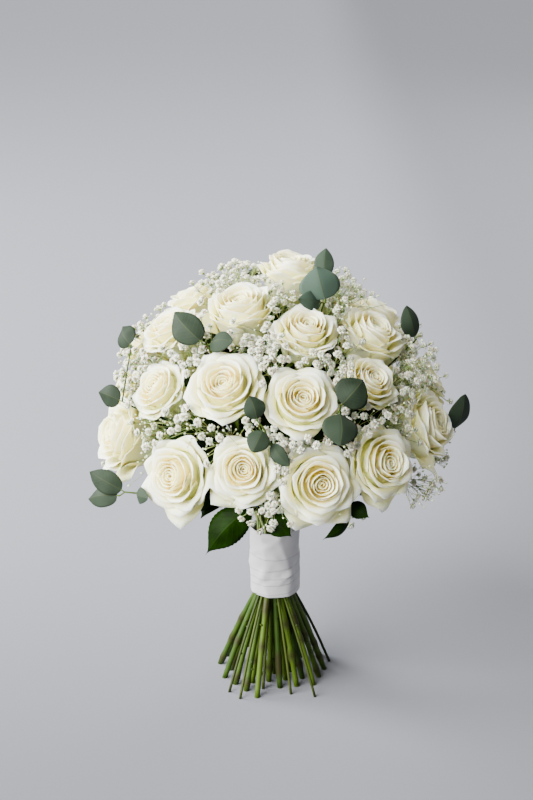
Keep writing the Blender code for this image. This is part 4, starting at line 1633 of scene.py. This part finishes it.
    def add_leaves(self, path: list[Vector], axis: Vector, rng: random.Random) -> None:
        """Add the leaves that a stem keeps inside the dome.

        Args:
            path: The stem's centre line.
            axis: The way that its bloom opens.
            rng: The stem's own chance.
        """
        top = len(path) - 1
        for k in range(self.leaves):
            root = path[top - 1 - int(1.6 * k)]
            turn = rng.uniform(0, math.tau)
            side = (axis.orthogonal().normalized() * math.cos(turn)
                    + axis.cross(axis.orthogonal()).normalized() * math.sin(turn))
            way = (axis * rng.uniform(0.2, 0.9) + side).normalized()
            tip = root + way * rng.uniform(*self.leaf_length) * MM
            if (tip - self.dome.centre).length > self.leaf_reach or tip.z < self.leaf_floor:
                tip = root.lerp(tip, 0.6)
            points, rise, across = INNER_LEAF.grid(root, tip, self.leaf_width, axis, rng)
            self.draft.add_sheet(points, self.thickness, rise=rise, across=across, finish=1)


@dataclass
class Gaps:
    """The places between the blooms that are still free for florets and buds."""

    dome: Dome
    solids: Room
    cell: float = 6 * MM
    face_height: float = 12.0
    face_radius: float = 26.8
    taken: dict[tuple[int, int, int], list[tuple[Vector, float]]] = field(default_factory=dict)

    def __post_init__(self) -> None:
        """Note each bloom's foot, axis and scale."""
        self.blooms = [(*self.dome.bloom(index), width / BLOOM_WIDTH * MM)
                       for index, (_, _, width) in enumerate(ROSES)]

    def in_front(self, point: Vector) -> bool:
        """Whether a point hangs before a bloom's face.

        Args:
            point: The point.

        Returns:
            Whether it does.
        """
        for foot, axis, scale in self.blooms:
            local = point - foot
            height = local.dot(axis)
            aside = (local - axis * height).length
            if height > self.face_height * scale and aside < self.face_radius * scale:
                return True
        return False

    def take(self, point: Vector, radius: float) -> bool:
        """Take a place if nothing is in its way.

        Args:
            point: The place's centre.
            radius: The room that it needs.

        Returns:
            Whether it was free.
        """
        home = tuple(int(value // self.cell) for value in point)
        for step in product((-1, 0, 1), repeat=3):
            cell = tuple(map(add, home, step))
            for other, room in self.taken.get(cell, ()):
                if (point - other).length < radius + room:
                    return False
        if self.in_front(point) or self.solids.distance(point) < radius * 1.2:
            return False
        self.taken.setdefault(home, []).append((point, radius))
        return True


@dataclass(frozen=True)
class Floret:
    """A double floret of baby's breath about the origin, opening along +Z, of radius 1.

    Attributes:
        whorls: Each ring's count of petals, their reach, lift in degrees and height.
        outline: A petal's corners, as shares of its length and of its half width.
        shade: How deep in the eye a petal's points lie: its corners, its front and its back.
        cup: The radius and the depth of the green cup below.
    """

    whorls: tuple = ((8, 1.0, 4, 0.0), (6, 0.84, 34, 0.10), (4, 0.62, 62, 0.22))
    outline: tuple = ((0, 0), (0.55, 1), (1, 0.62), (0.90, 0), (1, -0.62), (0.55, -1))
    shade: tuple = (0.9, 0.12, 0.0, 0.05, 0.0, 0.12, 0.10, 0.2)
    petal_width: float = 0.30
    cup: tuple[float, float] = (0.40, 0.8)

    def draw(self, rng: random.Random) -> tuple[np.ndarray, Faces, np.ndarray, np.ndarray]:
        """Lay its petals.

        Args:
            rng: The chance that sets one floret apart from the next.

        Returns:
            Its points and faces, and the part and depth of each point.
        """
        points: list[np.ndarray] = []
        faces: Faces = []
        depth: list[float] = []
        corners = len(self.outline)
        for count, reach, lift, height in self.whorls:
            first = rng.uniform(0, math.tau)
            for k in range(count):
                turn = first + math.tau * (k + rng.uniform(-0.18, 0.18)) / count
                rise = math.radians(lift + rng.uniform(-10, 10))
                flat = math.cos(rise)
                out = np.array([math.cos(turn) * flat, math.sin(turn) * flat, math.sin(rise)])
                side = np.array([-math.sin(turn), math.cos(turn), 0.0])
                up = np.cross(out, side)
                if up[2] < 0:
                    up = -up
                long = reach * rng.uniform(0.86, 1.08)
                root = np.array([0, 0, height])
                wide = self.petal_width * rng.uniform(0.85, 1.15)
                middle = root + out * long * 0.62
                start = len(points)
                points += [root + out * long * a + side * wide * b for a, b in self.outline]
                points += [middle - up * 0.05, middle - up * 0.13]
                depth += self.shade
                for a in range(corners):
                    b = (a + 1) % corners
                    faces.append([start + a, start + b, start + corners])
                    faces.append([start + b, start + a, start + corners + 1])
        part = [Part.PETAL.value] * len(points) + [Part.CUP.value] * (corners + 1)
        depth += [0.0] * (corners + 1)
        start = len(points)
        radius, low = self.cup
        for k in range(corners):
            turn = math.tau * k / corners
            points.append(np.array([math.cos(turn) * radius, math.sin(turn) * radius, 0.0]))
            faces.append([start + (k + 1) % corners, start + k, start + corners])
        points.append(np.array([0, 0, -low]))
        faces.append([start + k for k in range(corners)])
        return np.array(points), faces, np.array(part), np.array(depth)


@dataclass(frozen=True)
class Bud:
    """A closed bud about the origin, of radius 1."""

    rings: tuple = ((-1.0, 0.15), (-0.45, 0.8), (0.25, 0.85), (0.8, 0.45))
    top: float = 1.1
    sides: int = 6

    def draw(self) -> tuple[np.ndarray, Faces]:
        """Lay its rings.

        Returns:
            Its points and faces.
        """
        turns = [math.tau * k / self.sides for k in range(self.sides)]
        points = [(math.cos(turn) * r, math.sin(turn) * r, z) for z, r in self.rings for turn in turns]
        top = len(points)
        points.append((0, 0, self.top))
        faces = [list(range(self.sides))[::-1]]
        for row in range(len(self.rings)):
            low = row * self.sides
            for k in range(self.sides):
                right = (k + 1) % self.sides
                if row < len(self.rings) - 1:
                    faces.append([low + k, low + right, low + self.sides + right, low + self.sides + k])
                else:
                    faces.append([low + k, low + right, top])
        return np.array(points, float), faces


@dataclass
class BabysBreath:
    """One branching spray of baby's breath.

    Attributes:
        tries: How many places are tried for each flower that is wanted.
        lowest: The steepest way down that a flower may look, as a height on the unit dome.
        spread: How far round a head its flowers lie.
        skirt_spread: The same, for a head below the equator.
        depth: How far in from the head's reach a flower may sit, in millimetres.
        proud: How far out.
        split_reach: Where the branches part, as a share of the reach.
        branch: The radii of a branch's two ends, in millimetres.
        twig: The radii of a twig's two ends.
    """

    spot: str
    heads: tuple[Head, ...]
    place: Vector
    dome: Dome
    binding: Binding
    gaps: Gaps
    finish: Material
    florets: int = 9
    few_florets: int = 3
    buds: int = 6
    many_buds: int = 14
    tries: int = 40
    lowest: float = -0.18
    floret_radius: float = 3.7 * MM
    floret_room: float = 0.76
    bud_radius: float = 1.0 * MM
    spread: float = 0.125
    skirt_spread: float = 0.065
    depth: float = 20.0
    proud: float = 2.0
    split_reach: float = 0.40
    branch_length: float = 36.0
    branch: tuple[float, float] = (0.9, 0.6)
    twig: tuple[float, float] = (0.45, 0.32)
    stalk: float = 0.2
    cluster: int = 6
    stem_sides: int = 7
    branch_sides: int = 6
    twig_sides: int = 4
    stalk_sides: int = 3

    def __post_init__(self) -> None:
        """Start the spray's own chance and its mesh."""
        self.rng = random.Random(f"spray_{self.spot}")
        self.draft = MeshDraft("part", "depth")

    def spots(self, head: Head, count: int, radius: float) -> list[Vector]:
        """Take free places for florets or buds round a head.

        Args:
            head: The head.
            count: How many are wanted.
            radius: The room that one needs.

        Returns:
            The places found.
        """
        turn, lift, reach, _ = head
        middle = self.dome.outward(turn, lift)
        spread = self.spread if lift > 0 else self.skirt_spread
        found = []
        for _ in range(count * self.tries):
            if len(found) == count:
                break
            wander = Vector([self.rng.gauss(0, 1) for _ in range(3)])
            wander = (wander - middle * wander.dot(middle)) * spread
            out = reach + self.rng.uniform(-self.depth, self.proud)
            way = (middle + wander).normalized()
            centre = self.dome.centre + way * out * MM
            if way.z > self.lowest and self.gaps.take(centre, radius):
                found.append(centre)
        return found

    def build(self, solids: Room) -> Object:
        """Make the spray.

        Args:
            solids: The frame's solids, which the stem keeps clear of.

        Returns:
            The piece.
        """
        dome = self.dome
        radius = self.binding.spray_radius
        split = Vector((0, 0, 0))
        for turn, lift, reach, _ in self.heads:
            split += dome.point(turn, lift, reach * self.split_reach) / len(self.heads)
        heading = (split - dome.aim).normalized()
        ahead = [split + heading * radius]
        path = self.binding.clear_path(self.place, split, heading, False, radius, ahead, solids)
        self.draft.add_tube(path, radius, self.stem_sides, part=Part.TWIG.value)
        for head in self.heads + FILLS.get(self.spot, ()):
            self.add_head(head, split)
        node = f"babys_breath_{self.spot}"
        return self.draft.piece(f"spray_{self.spot}", node, "florets", [self.finish])

    def add_head(self, head: Head, split: Vector) -> None:
        """Add one head: a branch, its side twigs, florets and buds.

        Args:
            head: The head.
            split: Where its branch leaves the stem.
        """
        turn, lift, reach, fullness = head
        middle = self.dome.outward(turn, lift)
        high = self.dome.point(turn, lift, reach - self.branch_length)
        branch = curve(split, split.lerp(high, 0.4), split.lerp(high, 0.7), high, 8)
        self.draft.add_tube(branch, np.linspace(*self.branch, len(branch)) * MM, self.branch_sides,
                            part=Part.TWIG.value)
        budding = self.spot in BUDDING
        florets = self.few_florets if lift <= 0 or budding else self.florets
        buds = self.many_buds if budding else self.buds
        opened = self.spots(head, fullness * florets, self.floret_radius * self.floret_room)
        closed = self.spots(head, fullness * buds, self.bud_radius)
        grown = [(spot, True) for spot in opened] + [(spot, False) for spot in closed]
        for hub, members in self.hubs(grown, high, middle):
            sway = Vector([self.rng.uniform(-2, 2) * MM for _ in range(3)])
            twig = curve(high, high + middle * 5 * MM, hub - middle * 4 * MM + sway, hub, 5)
            self.draft.add_tube(twig, np.linspace(*self.twig, len(twig)) * MM, self.twig_sides,
                                part=Part.TWIG.value)
            for spot, is_open in members:
                self.add_flower(hub, spot, is_open, middle)

    def hubs(self, grown: list[tuple[Vector, bool]], high: Vector,
             middle: Vector) -> list[tuple[Vector, list[tuple[Vector, bool]]]]:
        """Group places into clusters that share a twig.

        Args:
            grown: The places, each with whether its flower is open.
            high: The branch's end.
            middle: The head's direction.

        Returns:
            Each cluster's fork and its places.
        """
        left = sorted(grown, key=lambda item: (item[0] - high).length)
        groups = []
        while left:
            seed = left.pop()
            left.sort(key=lambda item: -(item[0] - seed[0]).length)
            members = [seed] + [left.pop() for _ in range(min(self.cluster, len(left)))]
            centre = sum((spot for spot, _ in members), Vector()) / len(members)
            groups.append((centre.lerp(high, 0.42) - middle * 2 * MM, members))
        return groups

    def add_flower(self, hub: Vector, spot: Vector, is_open: bool, middle: Vector) -> None:
        """Add a floret or a bud with its thin stalk.

        Args:
            hub: Where its stalk starts.
            spot: Where it is.
            is_open: A floret, or else a bud.
            middle: The head's direction.
        """
        rng = self.rng
        way = (spot - hub).normalized()
        axis = (way + middle * 0.8 + Vector([rng.uniform(-0.35, 0.35) for _ in range(3)])).normalized()
        if is_open:
            points, faces, part, depth = Floret().draw(rng)
            size = self.floret_radius * rng.uniform(0.85, 1.12)
            seat = spot - axis * size * 0.7
        else:
            points, faces, part, depth = *Bud().draw(), Part.BUD.value, 0.0
            size = self.bud_radius * rng.uniform(0.7, 1.15)
            seat = spot - axis * size * 0.8
        placed = points * size @ stand_along(axis).T + np.array(spot)
        self.draft.add(placed, faces, part=part, depth=depth)
        bent = hub.lerp(seat, 0.55) + way.orthogonal() * rng.uniform(-0.8, 0.8) * MM
        self.draft.add_tube([hub, bent, seat], self.stalk * MM, self.stalk_sides, part=Part.TWIG.value)


@dataclass(frozen=True)
class Crease:
    """A soft fold in the ribbon.

    Attributes:
        turn: Where its middle is, in degrees round the handle.
        height: The height of its middle.
        slope: How steeply it climbs, as height over the length round.
        length: Half its length.
        width: Half its width.
        depth: How far it stands out, or in where it is negative.
    """

    turn: float
    height: float
    slope: float
    length: float
    width: float
    depth: float


FOLDS = (
    Crease(-88, 122 * MM, -1.25, 19 * MM, 4.2 * MM, 1.25 * MM),
    Crease(-118, 106 * MM, 1.6, 16 * MM, 3.4 * MM, 0.9 * MM),
    Crease(-66, 104 * MM, 0.5, 12 * MM, 3.0 * MM, 0.8 * MM),
    Crease(-80, 141 * MM, 0.06, 20 * MM, 1.6 * MM, 0.6 * MM),
)


@dataclass
class RibbonWrap:
    """A satin ribbon wound tightly round the stems in overlapping turns.

    Attributes:
        winding: Where the ribbon's middle is, in turns round the handle and millimetres up.
        flats: How many stems the outer turn spans, flat from one to the next.
        ridge: How softly it bends over them.
        twist: How far the flats turn with height.
        tilt: How far the later turns lie aslant.
        start: Where the winding begins, as an angle.
    """

    finish: Material
    bottom: float = 85 * MM
    top: float = 145 * MM
    inner: float = 20.70 * MM
    width: float = 24 * MM
    thickness: float = 0.25 * MM
    climb: float = 0.42 * MM
    winding: tuple = ((0, 97), (0.9, 97), (1.9, 107), (2.9, 113), (3.9, 119), (4.9, 133), (5.4, 133))
    flats: int = 7
    flat_share: float = 0.6
    ridge: float = 0.06
    twist: float = 7.0
    tilt: float = 0.7 * MM
    start: float = -2.4
    creases: int = 20
    deepest: float = -0.35 * MM
    round_steps: int = 132
    across_steps: int = 15

    def draw_creases(self) -> list[Crease]:
        """The long folds in front and the small ones over the whole handle.

        Returns:
            The creases.
        """
        rng = random.Random("ribbon creases")
        creases = list(FOLDS)
        for k in range(self.creases):
            turn = 360 * (k * 0.618 % 1.0) + rng.uniform(-12, 12)
            height = rng.uniform(self.bottom, self.top)
            slope = rng.choice((-1, 1)) * rng.uniform(0.25, 1.1)
            length = rng.uniform(10, 24) * MM
            width = rng.uniform(1.6, 5.0) * MM
            depth = rng.choice((-0.8, 1.0, 1.0)) * rng.uniform(0.45, 1.0) * MM
            creases.append(Crease(turn, height, slope, length, width, depth))
        return creases

    def relief(self, angle: np.ndarray, height: np.ndarray) -> np.ndarray:
        """How far the folds and the flats over the stems move the ribbon.

        Args:
            angle: Angles round the handle.
            height: Heights.

        Returns:
            The moves outwards.
        """
        pitch = math.tau / self.flats
        turned = angle + self.twist * (height - self.bottom) + 0.12 * np.sin(height * 120 + angle * 2)
        from_ridge = np.minimum(turned % pitch, pitch - turned % pitch)
        offset = pitch / 2 - np.hypot(from_ridge, self.ridge)
        moved = self.flat_share * self.inner * (1 / np.cos(offset) - 1) - 0.2 * MM
        for crease in self.draw_creases():
            away = (angle - math.radians(crease.turn) + math.pi) % math.tau - math.pi
            along = away * self.inner
            rise = height - crease.height
            length = math.hypot(1, crease.slope)
            forward = (along + rise * crease.slope) / length
            sideways = (rise - along * crease.slope) / length
            fall = (sideways / crease.width)**2 + (forward / crease.length)**2
            moved = moved + crease.depth * np.exp(-fall)
        return np.maximum(moved, self.deepest)

    def build(self) -> Object:
        """Make the ribbon.

        Returns:
            The piece.
        """
        turns = self.winding[-1][0]
        count = int(turns * self.round_steps)
        turn = np.linspace(0, turns, count + 1)
        middle = np.interp(turn, *np.array(self.winding).T) * MM
        across = np.sin(np.linspace(-math.pi / 2, math.pi / 2, self.across_steps))
        angle = (turn * math.tau + self.start)[:, None]
        tilt = self.tilt * np.sin(angle + 0.8) * smooth(turn, 0.9, 1.5)[:, None]
        z = middle[:, None] + tilt + across[None, :] * self.width / 2
        z = np.clip(z, self.bottom, self.top)
        lean = (1 - across[None, :]) / 2
        r = self.inner + self.climb * lean + self.relief(angle, z)
        grid = np.stack([r * np.cos(angle), r * np.sin(angle), z], -1)
        draft = MeshDraft("around", "across")
        draft.add_grid(grid, around=np.repeat(turn[:, None], self.across_steps, 1),
                       across=np.repeat(across[None, :], count + 1, 0))
        piece = draft.piece("satin_ribbon", "ribbon_wrap", "ribbon", [self.finish], self.thickness)
        length = turns * math.tau * (self.inner + self.climb / 2)
        return piece


class LampKind(Enum):
    """The kinds of studio lamp."""

    SUN = "SUN"
    DISK = "AREA"


@dataclass(frozen=True)
class Lamp:
    """A studio lamp.

    Attributes:
        at: Where it hangs, or the way to a sun.
        size: Its width, or the angle that a sun spans.
        power: Its power in watts, or a sun's strength.
        aim: Where it looks.
    """

    name: str
    kind: LampKind
    at: Vector
    size: float
    power: float
    colour: Colour
    aim: Vector = Vector((0, 0, 0.2))

    def hang(self) -> None:
        """Set the lamp up."""
        lamp = bpy.data.lights.new(self.name, self.kind.value)
        if self.kind is LampKind.SUN:
            lamp.angle = self.size
        else:
            lamp.shape = "DISK"
            lamp.size = self.size
        lamp.energy = self.power
        lamp.color = self.colour
        holder = show(self.name, lamp)
        holder.location = self.at
        holder.rotation_euler = (self.at - self.aim).to_track_quat("Z", "Y").to_euler()


LAMPS = (
    Lamp("key", LampKind.SUN, Vector((-0.94, -0.65, 0.70)), math.radians(58), 16.4,
         (1.0, 0.985, 0.965), Vector()),
    Lamp("window", LampKind.DISK, Vector((-2.0, 0.9, 1.3)), 1.4, 170, (0.97, 0.985, 1.0)),
    Lamp("fill", LampKind.DISK, Vector((1.5, 2.0, 1.2)), 1.6, 40, (1.0, 0.99, 0.975)),
)


@dataclass
class Studio:
    """The floor, the lights and the camera."""

    floor_half: float = 7.0
    floor_sides: int = 64
    air: Colour = (0.82, 0.82, 0.84)
    air_strength: float = 0.172
    eye: Vector = Vector((-7.2 * MM, -1.346, 0.762))
    pitch: float = math.radians(20.5)
    lens: float = 77.4
    sensor: float = 36.0

    def build(self) -> None:
        """Set up everything that isn't part of the bouquet."""
        self.lay_floor()
        for lamp in LAMPS:
            lamp.hang()
        self.light_world()
        self.place_camera()

    def lay_floor(self) -> None:
        """Lay the plain floor that the stem ends stand on."""
        mesh = bpy.data.meshes.new("floor")
        points = [(x, y, 0) for x, y in (circle(self.floor_sides) * self.floor_half).tolist()]
        mesh.from_pydata(points, [], [list(range(self.floor_sides))])
        mesh.materials.append(FloorFinish().material())
        show("floor", mesh)

    def light_world(self) -> None:
        """Fill the room with even pale light."""
        world = bpy.data.worlds.new("studio")
        world.use_nodes = True
        shade = world.node_tree.nodes["Background"]
        shade.inputs["Color"].default_value = (*self.air, 1)
        shade.inputs["Strength"].default_value = self.air_strength
        bpy.context.scene.world = world

    def place_camera(self) -> None:
        """Put the camera where the photograph was taken."""
        camera = bpy.data.cameras.new("camera")
        camera.lens = self.lens
        camera.sensor_width = self.sensor
        holder = show("camera", camera)
        holder.location = self.eye
        holder.rotation_euler = (math.pi / 2 - self.pitch, 0, 0)
        bpy.context.scene.camera = holder


@dataclass
class Bouquet:
    """The whole bouquet, built from the binding outwards."""

    dome: Dome = field(default_factory=Dome)
    binding: Binding = field(default_factory=Binding)

    def places(self) -> list[Vector]:
        """Each stem's place in the binding.

        Returns:
            The places, in the order of roses, sprigs, leaf stems and sprays.
        """
        dome = self.dome
        binding = self.binding
        targets = [dome.bloom(index)[0] for index in range(len(ROSES))]
        targets += [dome.point(*leaves[0][0]) for _, leaves in SPRIGS + LEAF_STEMS]
        targets += [dome.point(*heads[0][:3]) for _, heads in SPRAYS]
        radii = [binding.rose_radius] * len(ROSES)
        radii += [binding.sprig_radius] * len(SPRIGS + LEAF_STEMS)
        radii += [binding.spray_radius] * len(SPRAYS)
        return binding.squeeze(binding.share(targets), radii)

    def build(self) -> list[Object]:
        """Make every piece.

        Returns:
            The pieces.
        """
        petals = PetalFinish().material()
        stems = StemFinish().material()
        blades = {Foliage.SILVER: EucalyptusFinish().material(),
                  Foliage.DARK: DarkLeafFinish().material()}
        florets = FloretFinish().material()
        places = self.places()
        rose_places = places[:len(ROSES)]
        thin_places = iter(places[len(ROSES):])
        shown = Room()
        solids = Room()
        pieces = []
        for index in range(len(ROSES)):
            piece, draft = Rose(index, self.dome, petals).build()
            pieces.append(piece)
            shown.take_draft(draft)
            solids.take_node(f"rose_bloom_{index + 1:02d}")
        bundle = RoseStems(rose_places, self.dome, self.binding, stems, blades[Foliage.DARK])
        pieces.append(bundle.build())
        solids.take_node("rose_stems")
        for kind, table in ((Foliage.SILVER, SPRIGS), (Foliage.DARK, LEAF_STEMS)):
            for spot, leaves in table:
                stem = LeafyStem(kind, spot, leaves, next(thin_places), self.dome, self.binding,
                                 blades[kind], stems)
                piece, draft = stem.build(solids)
                pieces.append(piece)
                shown.take_draft(draft)
                solids.take_node(f"{kind.value[2]}_{spot}")
        gaps = Gaps(self.dome, shown)
        for spot, heads in SPRAYS:
            spray = BabysBreath(spot, heads, next(thin_places), self.dome, self.binding, gaps, florets)
            pieces.append(spray.build(solids))
            solids.take_node(f"babys_breath_{spot}")
        pieces.append(RibbonWrap(SatinFinish().material()).build())
        pieces.append(self.dress_tape())
        return pieces

    @staticmethod
    def dress_tape() -> Object:
        """Give the binding tape, which keeps its solid, its finish.

        Returns:
            The tape.
        """
        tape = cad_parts["binding_tape"]
        tape.data.materials.clear()
        tape.data.materials.append(TapeFinish().material())
        return tape


def main() -> None:
    """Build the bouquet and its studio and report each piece."""
    logging.basicConfig(level=logging.INFO, format="%(message)s")
    for piece in Bouquet().build():
        log.info("%s: %d faces", piece.name, len(piece.data.polygons))
    Studio().build()


if __name__ == "__main__":
    main()
